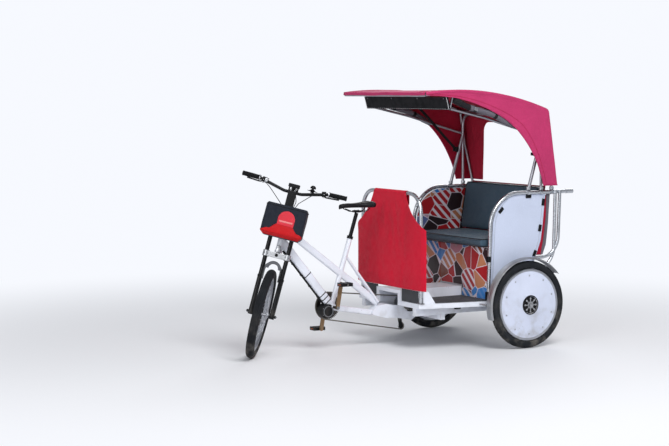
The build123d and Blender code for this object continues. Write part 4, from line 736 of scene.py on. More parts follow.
hood_rows = [[hood_point(i, *spot) for spot in hood_row(i)] for i in range(len(outer))]
columns = len(hood_rows[0])
first_window = back_from + drops.index(WINDOW_TOP)
open_from = WING_STEPS + 4 + SIDE_STEPS - 1
open_to = open_from + MID_STEPS
hood_points = [p for row in hood_rows for p in row]
hood_faces = [
    face
    for face in grid_faces(len(hood_rows), columns, flip=True)
    if face[3] < first_window * columns or not open_from <= face[3] % columns < open_to
]
front = range(WING_STEPS + 3, columns - WING_STEPS - 3)
above = front
for k, (dy, dz) in enumerate(((-0.0035, -0.004), (-0.004, -0.012), (-0.003, -0.021))):
    below = range(len(hood_points), len(hood_points) + len(front))
    for p in hood_rows[0][front.start : front.stop]:
        hood_points.append(p + Vector((0, dy, dz + ripple(p, 9, 0.002, 2.0) * k / 2)))
    hood_faces += list(zip(above, above[1:], below[1:], below))
    above = below
stands_for = "hood_roof hood_back hood_wings"
hood = piece("hood", (hood_points, hood_faces), "chassis", hood_out, stands_for, 180, hood_in)
smoothed(hood)
modifier(hood, "SOLIDIFY", thickness=0.0016, offset=-1, material_offset=1, material_offset_rim=0)

# Hood: bound edges, stitched seams and the strap to the far hoop leg
for s, side in SIDES:
    edge = 0 if s > 0 else columns - 1
    bead("hood_binding_" + side, [row[edge] for row in hood_rows], 0.0032, hood_out)
    stitch = [row[edge + 2 * s] + X * s * 0.0012 for row in hood_rows]
    piece("hood_stitch_" + side, pipe(stitch, 0.0009, 5), "chassis", hood_in)
    along_seam = [row[edge + s * (WING_STEPS + 5)] for row in hood_rows]
    seam = [p + Z * 0.001 for p in along_seam[: len(roof)]] + [p + Y * 0.001 for p in along_seam[back_from:]]
    piece("hood_seam_" + side, pipe(seam, 0.0011, 5), "chassis", hood_in)
    foot_run = hood_rows[-1][: open_from + 1] if s > 0 else hood_rows[-1][open_to:]
    bead("hood_foot_hem_" + side, foot_run, 0.0032, hood_out)
open_rows = hood_rows[first_window:]
window = [row[open_from] for row in open_rows][::-1] + open_rows[0][open_from + 1 : open_to]
window += [row[open_to] for row in open_rows]
bead("window_binding", window, 0.0034, hood_in)
bead("hood_front_hem", [hood_points[j] for j in above], 0.0028, hood_out)
strap = ((-0.42, -0.374, 1.806), (-0.44, -0.20, 1.672), (-0.468, -0.02, 1.517), (-0.486, 0.126, 1.392))
strap_line = smooth_line([at(*spot) for spot in strap], 6)
piece("hood_strap", pipe(strap_line, 0.0012, 8, 0.022, X), "chassis", webbing)

# Apron: a stretched sheet with concave corners, rolled over the hoop's top bar
APRON_LOW, APRON_HALF = 0.436, 0.452
HOOP_X, HOOP_Y, HOOP_TOP, WRAP_R = 0.385, -0.765, 1.112, 0.0166
corner_arc = arc_through((0.864, APRON_HALF), (0.953, 0.312), (1.126, 0.203), 40)


def apron_half(z):
    return float(np.interp(z, *zip(*corner_arc)))


def apron_point(u, z, lift=0.0):
    """A point of the apron's front: u from -1 to 1 across, with its slack, flaps and one deep fold."""
    x = u * apron_half(z)
    ends = ease((z - APRON_LOW) / 0.05) * ease((HOOP_TOP - z) / 0.12)
    span = 1 - min(1, abs(x) / HOOP_X) ** 6
    y = HOOP_Y - WRAP_R - lift
    y -= 0.0055 * span * ease((HOOP_TOP - z) / 0.2) * (0.6 + 0.4 * math.sin(3.1 * z + 1.5 * x))
    y -= abs(ripple((x * 1.6, 0, z * 0.55), 6.0, 0.009, 4.0)) * ends * span
    y += 0.016 * max(0.0, (abs(x) - 0.398) / 0.054) ** 1.4
    along = (x + 0.40) / 0.26
    if 0 < along < 1:
        crease = (z - (0.486 + 0.05 * along)) / 0.02
        y -= 0.007 * math.sin(math.pi * along) * math.exp(-crease * crease)
    crease = (z - 0.86 + 0.35 * abs(abs(x) - 0.40)) / 0.024
    y -= 0.003 * math.exp(-crease * crease) * ease((abs(x) - 0.26) / 0.08)
    return at(x, y, z)


spread = np.linspace(-1, 1, 57)
apron_rows = [[apron_point(u, z) for u in spread] for z in np.linspace(APRON_LOW, HOOP_TOP, 50)]
top_half = apron_half(HOOP_TOP)
for k in range(1, 13):
    a, drop = math.pi * min(k, 9) / 9, 0.028 * max(0, k - 9)
    y, z = HOOP_Y - WRAP_R * math.cos(a), HOOP_TOP + WRAP_R * math.sin(a) - drop
    apron_rows.append([at(u * top_half, y, z) for u in spread])
apron, area = skin("apron_sheet", apron_rows, crimson, "apron_cloth", 0.0018, "apron", flip=True)
for name, inset, lift, r, finish in (
    ("apron_edge", 0.0, 0.0, 0.0026, crimson),
    ("apron_stitch", 0.016, 0.0006, 0.0008, hood_in),
):
    heights = np.linspace(APRON_LOW + inset, HOOP_TOP, 60)
    right, left = ([apron_point(s * (1 - inset / apron_half(z)), z, lift) for z in heights] for s in (-1, 1))
    bottom_run = np.linspace(-1, 1, 60)[1:-1] * (1 - inset / APRON_HALF)
    bottom = [apron_point(u, APRON_LOW + inset, lift) for u in bottom_run]
    bead(name, right[::-1] + bottom + left, r, finish)

# Side sheets, laced to the loops by black tabs
SHEET_X, SHEET_LOW, SHEET_TOP = 0.4889, 0.353, 1.088
BEND_Y, BEND_Z, BEND_R = 0.005, 0.862, 0.226


def sheet_front(z):
    if z <= BEND_Z:
        return -0.241 + 0.020 * max(0.0, (z - SHEET_LOW) / (BEND_Z - SHEET_LOW))
    return BEND_Y - math.sqrt(max(0.0, BEND_R**2 - (z - BEND_Z) ** 2))


def sheet_rear(z):
    heights = [SHEET_LOW, 0.52, 0.56, 0.60, 0.70, 0.76, 0.86, SHEET_TOP]
    return float(np.interp(z, heights, [0.130, 0.130, 0.133, 0.142, 0.181, 0.203, 0.217, 0.240]))


def sheet_point(side, u, z, lift=0.0):
    low, high = sheet_front(z), sheet_rear(z)
    y = low + (high - low) * u
    slack = math.sin(math.pi * min(1, max(0, u))) * ease((z - SHEET_LOW) / 0.1) * ease((SHEET_TOP - z) / 0.1)
    x = SHEET_X + lift + ripple((0, y * 1.2, z * 0.7), 5.5, 0.004, 2.0 + side) * slack
    return at(side * x, y, z)


levels = list(np.linspace(SHEET_LOW, 1.0, 34))
levels += [SHEET_TOP - 0.088 * math.cos(t) ** 2 for t in np.linspace(0.1, math.pi / 2, 16)]
TABS = ((0.091, 1.078, 0), (0.224, 1.032, 82), (0.196, 0.845, 78), (0.150, 0.662, 66), (-0.152, 0.985, 45))
for side, name in SIDES:
    rows = [[sheet_point(side, u, z) for u in np.linspace(0, 1, 30)] for z in levels]
    look = {"inside": printed, "flip": side < 0}
    made, area = skin("side_sheet_" + name, rows, side_skin, "side_vinyl", 0.003, "side_panels", **look)
    border = [sheet_point(side, 0, z) for z in levels]
    border += [sheet_point(side, u, SHEET_TOP) for u in np.linspace(0, 1, 12)[1:]]
    border += [sheet_point(side, 1, z) for z in levels[::-1][1:]]
    border += [sheet_point(side, u, SHEET_LOW) for u in np.linspace(1, 0, 14)[1:-1]]
    bead("side_edge_" + name, border, 0.0024, side_skin, closed=True)
    seams = ((0.04, levels[1:-6]), (0.96, levels[::-1][4:-1]))
    stitches = [pipe([sheet_point(side, u, z, 0.0004) for z in run], 0.0007, 5) for u, run in seams]
    piece("side_stitch_" + name, stitches, "chassis", zinc)
    tabs = []
    for y, z, slope in TABS:
        c, s = math.cos(math.radians(slope)), math.sin(math.radians(slope))
        along, wide = Y * c + Z * s, Z * c - Y * s
        tabs.append(slab(at(side * (SHEET_X + 0.0022), y, z), (0.050, 0.026, 0.0036), (along, wide, X)))
        for shift in (-0.014, 0.014):
            tabs.append(bolt(at(side * (SHEET_X + 0.0038), y, z) + along * shift, X * side, 0.0035, 0.002))
    for y, z, half in ((-0.2565, 0.640, 0.020), (-0.2575, 0.378, 0.030)):
        tabs.append(ring(at(side * SIDE_X, y, z), Z, CLAMP_R, 0.0172, half))
    tabs.append(slab(at(side * 0.4905, -0.272, 0.377), (0.020, 0.018, 0.058), edge=0.004))
    fitting("side_tabs_" + name, tabs, "chassis", black_plastic)

# Padded seat: pressure simulated over the CAD solids, then piping
LEAN = math.radians(9.4)
SEAT_Z, PAD_HALF = 0.722, 0.447


def back_board(z):
    """How far behind the axle the leaning back board's rear face lies."""
    return 0.204 + (z - SEAT_Z) * math.tan(LEAN)


def board_face(z):
    """Y of the back board's front face."""
    return AXLE_Y + back_board(z) - 0.0086


def baked(made):
    """Put the mesh that an object's modifiers give in the place of its own."""
    graph = bpy.context.evaluated_depsgraph_get()
    shape = bpy.data.meshes.new_from_object(made.evaluated_get(graph))
    made.modifiers.clear()
    made.data = shape
    return shape


def puffed(name, node, seams, cap, shrink, keep, seed):
    """A cushion: the CAD solid remeshed, blown up between its pinned seams and capped."""
    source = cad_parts[node]
    made = add(name, source.data.copy())
    corners = [source.matrix_world @ v.co for v in made.data.vertices]
    low, high = (Vector(pick(p[i] for p in corners) for i in range(3)) for pick in (min, max))
    middle = (low + high) / 2
    factor = [1 - 2 * shrink / (high[i] - low[i]) for i in range(3)]
    for v, p in zip(made.data.vertices, corners):
        v.co = Vector(middle[i] + (p[i] - middle[i]) * factor[i] for i in range(3))
    modifier(made, "REMESH", mode="VOXEL", voxel_size=0.0066)
    shape = baked(made)
    first = [v.co.copy() for v in shape.vertices]
    group = made.vertex_groups.new(name="seam")
    for v in shape.vertices:
        if seams(v.co):
            group.add([v.index], 1.0, "REPLACE")
    cloth_sim = modifier(made, "CLOTH")
    cloth_sim.settings.quality = 4
    cloth_sim.settings.use_pressure = True
    cloth_sim.settings.uniform_pressure_force = 4.0
    cloth_sim.settings.vertex_group_mass = "seam"
    cloth_sim.settings.effector_weights.gravity = 0
    cloth_sim.point_cache.frame_start = 1
    cloth_sim.point_cache.frame_end = 20
    for number in range(1, 21):
        bpy.context.scene.frame_set(number)
    shape = baked(made)
    bpy.context.scene.frame_set(1)
    for v, old in zip(shape.vertices, first):
        move = v.co - old
        if move.length > cap:
            move *= cap / move.length
        v.co = keep(old + move + Vector((0, 0, ripple(old, 9, 0.0012, seed))))
    shape.materials.clear()
    shape.materials.append(seat_skin.material)
    shape.shade_smooth()
    smoothed(made)
    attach(made, "chassis")
    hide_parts(node)


def cushion_seams(p):
    """The lower edge, the upper rim and the centre seam."""
    rim = abs(abs(p.x) - PAD_HALF) < 0.006 or p.y - AXLE_Y < -0.290
    return p.z < 0.731 or (rim and p.z > 0.765) or (abs(p.x) < 0.004 and p.z > 0.76)


def cushion_keep(p):
    p.z = max(0.7226, p.z)
    return p


def back_seams(p):
    """The side against the board, the front rim and the centre seam."""
    gap = board_face(p.z) - p.y
    rim = abs(abs(p.x) - PAD_HALF) < 0.006 or p.z > 1.130 or p.z < 0.796
    return gap < 0.012 or (rim and gap > 0.04) or (abs(p.x) < 0.004 and gap > 0.03)


def back_keep(p):
    p.y = min(board_face(p.z), p.y)
    p.z = max(0.7858, p.z)
    return p


puffed("seat_cushion_pad", "seat_cushion", cushion_seams, 0.011, 0.005, cushion_keep, 1.0)
puffed("seat_back_pad", "seat_back", back_seams, 0.013, 0.006, back_keep, 6.0)
cushion_line = [at(x, y, 0.779) for x, y in mirrored([(0.446, 0.18), (0.446, -0.278), (0.434, -0.294)])]
back_line = mirrored([(0.446, 0.80), (0.446, 1.118), (0.430, 1.137)])
bead("cushion_piping", cushion_line, 0.0032, webbing)
bead("cushion_piping_low", [p - Z * 0.0525 for p in cushion_line], 0.0028, webbing)
bead("back_piping", [(x, board_face(z) - 0.056, z) for x, z in back_line], 0.0032, webbing)

# Seat-front board with a made-up print, open at the tunnel's mouth, and its edge trim
BOARD_Y, TRIM_Y = -0.2412, -0.2422
panels = [slab(at(s * 0.3025, BOARD_Y, 0.533), (0.335, 0.0018, 0.370), edge=0.0006) for s in (-1, 1)]
panels.append(slab(at(0, BOARD_Y, 0.569), (0.27, 0.0018, 0.298), edge=0.0006))
piece("seat_front_print", panels, "chassis", printed)
trim = [slab(at(s * 0.4705, -0.2408, 0.535), (0.006, 0.008, 0.372), edge=0.001) for s in (-1, 1)]
trim.append(slab(at(0, TRIM_Y, 0.4225), (0.284, 0.005, 0.008), edge=0.001))
trim += [slab(at(s * 0.138, TRIM_Y, 0.382), (0.008, 0.005, 0.073), edge=0.001) for s in (-1, 1)]
trim += [bolt(at(x, -0.2421, 0.706), -Y, 0.004, 0.003) for x in np.linspace(-0.44, 0.44, 8)]
fitting("seat_front_trim", trim, "chassis", alloy)

# Back of the seat: bolts, and a red cloth strip between the side sheet and the rolled curtain
board_out = Vector((0, math.cos(LEAN), -math.sin(LEAN)))
spots = [at(x, back_board(z), z) for x in (-0.42, -0.14, 0.14, 0.42) for z in (0.70, 0.92, 1.12)]
fitting("back_board_bolts", [bolt(spot, board_out) for spot in spots], "chassis", zinc)
for side, name in SIDES:
    rows = []
    for z in np.linspace(0.648, 1.084, 26):
        low = sheet_rear(z) - 0.004
        high = float(np.interp(z, [0.652, 0.76, 0.93, 1.09], [0.232, 0.250, 0.268, 0.276]))
        waved = [(0.4715 + 0.004 * math.sin(3 * math.pi * u), u) for u in np.linspace(0, 1, 7)]
        rows.append([at(side * x, low + (high - low) * u, z) for x, u in waved])
    made, area = skin("back_cloth_" + name, rows, hood_in, "apron_cloth", 0.0014, flip=side < 0)

# Rain curtains: rolled up under the roof's side rails, and folded bundles behind the seat
ROLL_X, ROLL_R, TIES = 0.5217, 0.0212, (0.12, 0.42, 0.72)
ROLL_PATH = [(-0.583, 1.770), (-0.449, 1.718), (-0.260, 1.668), (-0.088, 1.585)]
END_CAP = [(0.0001, 0.004), (0.014, 0.0035), (0.0225, 0.001)]
END_CAP += [(0.0235, -0.004), (0.0235, -0.052), (0.0225, -0.054)]
for side, name in SIDES:
    line = smooth_line([at(side * ROLL_X, y, z) for y, z in ROLL_PATH], 14)
    n = len(line)
    radii = []
    for t in (i / (n - 1) for i in range(n)):
        r = ROLL_R + ripple((t * 3, 0, side), 3.0, 0.0022, 4.0)
        r -= sum(0.0032 * math.exp(-(((t - tie) / 0.018) ** 2)) for tie in TIES)
        radii.append(r * (1 - 0.28 * ease((t - 0.86) / 0.14)))
    shapes = [pipe(line, radii, 24)]
    for begin in np.radians((20, 135, 250)):
        edge = []
        for i, p in enumerate(line):
            a = begin + 0.5 * i / n
            edge.append(p + (X * math.cos(a) + Z * math.sin(a)) * (radii[i] * 0.985))
        shapes.append(pipe(edge, 0.0018, 6))
    bundle = []
    for z in np.linspace(1.0895, 0.652, 40):
        low = float(np.interp(z, [0.652, 0.76, 0.93, 1.0907], [0.214, 0.236, 0.258, 0.262]))
        high = float(np.interp(z, [0.652, 0.72, 0.88, 1.0907], [0.233, 0.265, 0.283, 0.295]))
        loop = []
        for a in round_turns(40):
            fold = 1 - 0.16 * abs(math.sin(2.5 * a + 1.2 * math.sin(6 * z)))
            y = (low + high) / 2 + (high - low) / 2 * math.sin(a) * fold
            loop.append(at(side * (0.4725 + 0.0138 * math.cos(a) * fold), y, z))
        bundle.append(loop)
    shapes.append(shell(bundle))
    made = piece("curtains_" + name, shapes, "chassis", roll_skin, "curtain_rolls", 50)
    wraps, buckles = [turned(END_CAP, line[0], line[0] - line[3], 28)], []
    for tie in TIES:
        i = int(tie * (n - 1))
        along = (line[i + 1] - line[i - 1]).normalized()
        wraps.append(ring(line[i], along, 0.0185, 0.0222, 0.011))
        if tie == TIES[1]:
            axes = (X, along, along.cross(X))
            buckles.append(slab(line[i] + X * side * 0.0225, (0.004, 0.030, 0.024), axes, 0.0015))
    fitting("curtain_caps_" + name, wraps, "chassis", webbing)
    fitting("curtain_buckles_" + name, buckles, "chassis", alloy)


# Sign board, left blank: pale end strips and a row of short dashes along the lower edge


def on_sign(x, h, proud):
    """A point on the sign's face: h from 0 at its foot to 1 at its top."""
    return at(x, -0.638 - 0.024 * h - proud, 1.703 + 0.088 * h)


sign_up = Vector((0, -0.024, 0.088)).normalized()
sign_out = X.cross(sign_up)
sign_axes = (X, sign_up, sign_out)
marks = [slab(on_sign(s * 0.5385, 0.5, 0.0004), (0.005, 0.0885, 0.0012), sign_axes, 0.0003) for s in (-1, 1)]
for x in np.linspace(-0.52, 0.52, 38):
    marks.append(slab(on_sign(x, 0.055, 0.0004), (0.013, 0.0022, 0.001), sign_axes, 0.0002))
fitting("sign_marks", marks, "chassis", white_edge)
screws = [bolt(on_sign(x, 0.88, 0.0002), sign_out, 0.004, 0.0025) for x in (-0.50, -0.17, 0.17, 0.50)]
fitting("sign_screws", screws, "chassis", zinc)

# Fenders: rolled rims and a raised double line
turns = np.radians(np.linspace(39.3, 195.7, 90))
for side, name in SIDES:
    arcs = []
    for half, r, thick in ((0.034, 0.3292, 0.0024), (0.012, 0.3368, 0.0016)):
        for x in (side * HUB_X - half, side * HUB_X + half):
            arcs.append(pipe([at(x, r * math.cos(a), HUB_Z + r * math.sin(a)) for a in turns], thick, 8))
    piece("fender_beads_" + name, arcs, "chassis", fender_metal, sharp=60)
    spots = (at(side * 0.575, -0.331, 0.324), at(side * 0.575, 0.222, 0.562))
    bolts = [bolt(spot, -X * side, 0.006, 0.005) for spot in spots]
    fitting("fender_bolts_" + name, bolts, "chassis", zinc)

# Handlebar: ribbed grips with end caps, lever bolts, the display, the bell and the stem's bolts
STEERED = (SX, SY, SZ)
BELL_X, DISPLAY_Y = 0.130, -0.076
for side, name in SIDES:
    inner, outer = steered(side * 0.248, -0.071, 0.908), steered(side * 0.372, -0.0555, 0.912)
    along = (outer - inner).normalized()
    length = (outer - inner).length
    profile = [(0.0112, 0.0), (0.0185, 0.0), (0.0195, 0.002), (0.0185, 0.005), (0.0158, 0.006)]
    for k in range(26):
        s = 0.008 + (length - 0.018) * k / 26
        swell = 0.0009 * math.sin(math.pi * k / 26)
        for r, step in ((0.0152, 0), (0.0163, 0.0012), (0.0163, 0.0026), (0.0152, 0.0036)):
            profile.append((r + swell, s + step))
    profile += [(0.0166, length - 0.008), (0.0178, length - 0.003)]
    profile += [(0.0160, length), (0.0001, length + 0.001)]
    grip = turned(profile, inner, along, 32)
    fitting("grip_" + name, grip, "steering", grip_rubber, "grips")
    collar = ring(inner - along * 0.003, along, 0.0115, 0.0180, 0.004)
    fitting("grip_collar_" + name, collar, "steering", alloy)
    pivot = steered(side * 0.216, -0.094, 0.889)
    parts = [bolt(pivot + SZ * 0.008, SZ, 0.005, 0.004), bolt(pivot - SZ * 0.010, -SZ, 0.005, 0.004)]
    if side < 0:
        band_axis = steered(-0.24, -0.072, 0.905) - steered(-0.19, -0.072, 0.899)
        parts.append(ring(steered(-0.196, -0.0725, 0.9005), band_axis, 0.0192, 0.0215, 0.010))
    fitting("lever_bolts_" + name, parts, "steering", alloy)
bracket = slab(steered(0, -0.074, 0.9), (0.030, 0.030, 0.034), STEERED, 0.003)
piece("display_bracket", bracket, "steering", black_plastic)
dome = [(0.0001, 0.022), (0.008, 0.021), (0.015, 0.0165), (0.0195, 0.009), (0.0205, 0.002), (0.0195, 0.0)]
bell = turned(dome, steered(BELL_X, DISPLAY_Y, 0.921), SZ, 32)
piece("bell_dome", bell, "steering", black_metal)
bracket = slab(steered(0.0, -0.0335, 0.463), (0.024, 0.003, 0.046), STEERED, 0.001)
piece("head_bracket", bracket, "steering", alloy)
glass = slab(steered(0, DISPLAY_Y, 0.9194), (0.066, 0.038, 0.0014), STEERED, 0.0005)
fitting("display_glass", glass, "steering", sign_skin)
nut = [(0.0001, 0.0), (0.004, -0.0002), (0.0052, -0.003), (0.0052, -0.008)]
fitting("bell_nut", turned(nut, steered(BELL_X, DISPLAY_Y, 0.9428), SZ, 20), "steering", alloy)
spots = [steered(dx, -0.0915, 0.862 + dz) for dx in (-0.016, 0.016) for dz in (-0.013, 0.013)]
cap = [(0.0001, 0.003), (0.009, 0.002), (0.0135, -0.001), (0.0135, -0.006)]
stem_bolts = [bolt(spot, -SY, 0.0042, 0.003) for spot in spots] + [turned(cap, steered(0, 0, 0.7495), SZ, 24)]
fitting("stem_bolts", stem_bolts, "steering", zinc)

# Fork: crown boss, leg caps, axle nuts, dust seals and brace
LEG_X, LEG_Y, CROWN_Y, CROWN_Z = 0.0755, -0.042, -0.062, 0.415
boss = [(0.0001, 0.007), (0.006, 0.0065), (0.0065, 0.004), (0.0105, 0.004), (0.0115, 0.002), (0.0115, -0.002)]
crown_boss = turned(boss, steered(0, CROWN_Y, CROWN_Z), -SY, 24)
fitting("crown_boss", crown_boss, "steering", black_plastic)
leg_cap = [(0.0001, 0.006), (0.008, 0.0055), (0.0105, 0.003), (0.0145, 0.001), (0.0150, -0.003)]
axle_nut = [(0.0001, 0.006), (0.005, 0.005), (0.0085, 0.003), (0.0090, -0.003)]
seal = [(0.0152, 0.012), (0.0182, 0.010), (0.0190, 0.002), (0.0178, -0.006)]
fork_bits, seals = [], []
for side in (-1, 1):
    leg = side * LEG_X
    fork_bits.append(turned(leg_cap, steered(leg, LEG_Y, 0.708), SZ, 24))
    fork_bits.append(turned(axle_nut, steered(leg + side * 0.027, LEG_Y, 0), SX * side, 20))
    fork_bits += [bolt(steered(leg + dx, CROWN_Y, CROWN_Z), -SY, 0.0035, 0.003) for dx in (-0.012, 0.012)]
    seals.append(turned(seal, steered(leg, LEG_Y, 0.252), SZ, 28))
arch = [(0.035, -0.019), (0.050, -0.019), (0.0545, -0.012), (0.0545, 0.012), (0.050, 0.019), (0.035, 0.019)]
brace = turned(arch + arch[:1], steered(0, -0.044, 0.319), SY, 32, SX, math.pi, math.pi)
piece("fork_brace", brace, "steering", brace_grey, sharp=50)
fitting("fork_bolts", fork_bits, "steering", zinc)
fitting("fork_seals", seals, "steering", grip_rubber)

# Handlebar bag: a stiff box with a rolled lid, a red lower shell and a blank half-round patch
BAG_W, BAG_D, BAG_R, BAG_X, BAG_Y = 0.146, 0.066, 0.024, 0.006, -0.162
BAG_LOW, BAG_TOP, SHELL_LOW = 0.530, 0.754, 0.5315


def bag_point(s, z, lift=0.0):
    """Round the bag's wall: s in metres from the middle of the front, positive to its left."""
    inset = 0.022 * (1 - ease((z - BAG_LOW) / 0.026)) + 0.007 * ease((z - 0.742) / 0.012) - lift
    flat, side_len, quarter = BAG_W - BAG_R, 2 * (BAG_D - BAG_R), math.pi * BAG_R / 2
    t, sign = abs(s), (1 if s >= 0 else -1)
    if t <= flat:
        x, y, nx, ny = t, -BAG_D, 0.0, -1.0
    elif t <= flat + quarter:
        a = (t - flat) / BAG_R
        x, y = flat + BAG_R * math.sin(a), -BAG_D + BAG_R * (1 - math.cos(a))
        nx, ny = math.sin(a), -math.cos(a)
    elif t <= flat + quarter + side_len:
        x, y, nx, ny = BAG_W, -BAG_D + BAG_R + (t - flat - quarter), 1.0, 0.0
    elif t <= flat + 2 * quarter + side_len:
        a = (t - flat - quarter - side_len) / BAG_R
        x, y = flat + BAG_R * math.cos(a), BAG_D - BAG_R + BAG_R * math.sin(a)
        nx, ny = math.cos(a), math.sin(a)
    else:
        x, y, nx, ny = max(0.0, flat - (t - flat - 2 * quarter - side_len)), BAG_D, 0.0, 1.0
    bulge = 0.002 * math.sin(math.pi * min(1, max(0, (z - BAG_LOW) / 0.224)))
    bulge *= 1 - ny * ny * 0.5 if ny > 0 else 1
    crumple = ripple((x * 1.4, y, z), 16, 0.0016, 3.0) if ny < 0.5 else 0
    off = -inset + bulge - 0.0028 + crumple
    return steered(BAG_X + sign * (x + nx * off), BAG_Y + y + ny * off, z)


def lobe_top(s):
    """Height of the red shell's upper edge."""
    x = abs(s - 0.010) / 0.128
    return 0.576 + 0.040 * (1 - ease((x - 0.38) / 0.42)) - 0.016 * ease((x - 0.85) / 0.35)


half_round = 2 * (BAG_W - BAG_R) + 2 * (BAG_D - BAG_R) + math.pi * BAG_R
stations = np.linspace(-half_round, half_round, 97)[:-1]
heights = [BAG_LOW, 0.533, 0.538, 0.545, 0.556, *np.linspace(0.57, 0.725, 15)]
heights += [0.738, 0.743, 0.748, 0.752, BAG_TOP]
bag_rings = [[bag_point(s, z) for s in stations] for z in heights]
top_ring, top_centre = bag_rings[-1], steered(BAG_X, BAG_Y, BAG_TOP)
for inward in (0.7, 0.35):
    bag_rings.append([top_centre + SZ * 0.0005 + (p - top_centre) * inward for p in top_ring])
bag = piece("bag_body", shell(bag_rings), "steering", bag_skin, "handlebar_bag", 50)

shell_run = np.linspace(-0.158, 0.158, 61)
shell_rows = []
for t in np.linspace(0, 1, 12):
    lift = 0.0016 + 0.0016 * math.sin(math.pi * t) ** 0.5
    shell_rows.append([bag_point(s, SHELL_LOW + (lobe_top(s) - SHELL_LOW) * t, lift) for s in shell_run])
lobe, area = skin("bag_shell", shell_rows, bag_red, "bag_cloth", 0.0012, body="steering")
PATCH_X, PATCH_Z = 0.016, 0.657
patch_rows = []
for z in np.linspace(0.613, 0.716, 22):
    half = 0.058 if z < PATCH_Z else math.sqrt(max(1e-6, 0.0585**2 - (z - PATCH_Z) ** 2))
    patch_rows.append([bag_point(PATCH_X + u * half, z, 0.0022) for u in np.linspace(-1, 1, 21)])
patch, area = skin("bag_patch", patch_rows, bag_patch, "bag_cloth", 0.001, body="steering")
stripe_run = PATCH_X + np.linspace(-0.047, 0.047, 16)
stripe_rows = [[bag_point(s, z, 0.0032) for s in stripe_run] for z in (0.634, 0.638, 0.642, 0.646)]
skin("bag_stripe", stripe_rows, bag_stripe, "bag_cloth", 0.0006, body="steering", smooth=False)
lid = [bag_point(s, 0.7385, 0.0012) for s in stations]
bead("bag_lid_seam", lid, 0.0022, webbing, "steering", closed=True)
seam = [bag_point(s, lobe_top(s), 0.0016) for s in shell_run]
bead("bag_shell_seam", seam, 0.0015, bag_red, "steering", 6)

# Saddle: a padded shell on two rails with its clamp
SADDLE = (  # distance behind the axle, half width, top
    (-1.204, 0.004, 1.030), (-1.200, 0.013, 1.0355), (-1.190, 0.020, 1.0400), (-1.165, 0.0225, 1.0430),
    (-1.125, 0.0245, 1.0425), (-1.080, 0.029, 1.0415), (-1.040, 0.038, 1.0410), (-1.005, 0.053, 1.0425),
    (-0.975, 0.069, 1.0450), (-0.955, 0.0765, 1.0455), (-0.942, 0.076, 1.0440), (-0.934, 0.066, 1.0400),
    (-0.930, 0.030, 1.0330),
)
saddle_y, half_widths, tops = zip(*SADDLE)


def saddle_tilt(y):
    """How much the tilted saddle rises or drops there."""
    return 0.05 * (y + 1.10)


saddle_rows = []
for y in np.linspace(saddle_y[0], saddle_y[-1], 44):
    w, top = (float(np.interp(y, saddle_y, values)) for values in (half_widths, tops))
    depth = 0.026 + 0.020 * min(1, w / 0.07)
    row = []
    for a in round_turns(36):
        c, s = math.cos(a), math.sin(a)
        z = top - depth / 2 + (depth / 2) * signed(s, 0.75)
        groove = 0.004 * math.exp(-((w * c / 0.011) ** 2)) if s > 0.5 and w > 0.026 else 0
        row.append(at(w * signed(c, 0.8), y, z - groove + saddle_tilt(y)))
    saddle_rows.append(row)
saddle = piece("saddle_pad", shell(saddle_rows, True), "chassis", saddle_skin, "saddle", 60)
smoothed(saddle)
RAIL = (
    (0.014, -1.160, 1.003), (0.018, -1.125, 0.990), (0.021, -1.098, 0.9815),
    (0.022, -1.012, 0.9815), (0.028, -0.985, 0.989), (0.034, -0.968, 1.004),
)
rails = [pipe(smooth_line([at(s * x, y, z) for x, y, z in RAIL], 6), 0.0035, 10) for s in (-1, 1)]
CLAMP_Y = -1.0588
rails.append(slab(at(0, CLAMP_Y, 0.9815), (0.052, 0.044, 0.0155), edge=0.003))
rails += [bolt(at(0, CLAMP_Y + d, 0.989), Z, 0.004, 0.004) for d in (-0.014, 0.014)]
fitting("saddle_rails", rails, "chassis", black_metal, "saddle")
seam = [at(w * 0.985 * s, y, t - 0.021 + saddle_tilt(y)) for s in (-1, 1) for y, w, t in SADDLE[1:-1][::s]]
piece("saddle_seam", pipe(seam, 0.0009, 6), "chassis", grip_rubber)

# Motor and cranks: cover discs, rings of screws, cap bolts, pins and reflectors on the pedals
MOTOR = at(0, -1.314, 0.286)
disc = [(0.0001, 0.0455), (0.024, 0.0450), (0.030, 0.0430), (0.032, 0.0405)]
fitting("motor_cover", [turned(disc, MOTOR, X * s, 48) for s in (1, -1)], "chassis", sign_skin)
edge = [(0.0325, 0.0418), (0.0335, 0.0434), (0.0395, 0.0434), (0.0405, 0.0418)]
rims = [turned(edge, MOTOR, X * s, 48) for s in (-1, 1)]
for s in (-1, 1):
    face = MOTOR + X * s * 0.0400
    rims += [bolt(face + spoke * 0.0455, X * s, 0.0028, 0.002) for spoke in fan(Y, Z, 6, 0.5)]
fitting("motor_ring", rims, "chassis", zinc)
crank_cap = [(0.0001, 0.007), (0.004, 0.0065), (0.009, 0.0062), (0.0115, 0.004), (0.0115, 0.001)]
caps = [turned(crank_cap, at(s * 0.0945, CRANK_Y, HUB_Z), X * s, 24) for s in (-1, 1)]
caps += [bolt(at(-0.0572, CRANK_Y, HUB_Z) + spoke * 0.068, -X, 0.0045, 0.003) for spoke in fan(Y, Z, 5)]
fitting("crank_bolts", caps, "cranks", zinc)
crank_turn = math.radians(10)
crank_arm = Vector((0, math.sin(crank_turn), math.cos(crank_turn))) * CRANK_ARM
pin_end = [(0.0001, 0.004), (0.005, 0.0035), (0.0065, 0.001), (0.0065, -0.002)]
stud = [(0.0001, 0.0035), (0.0018, 0.0032), (0.002, 0.0)]
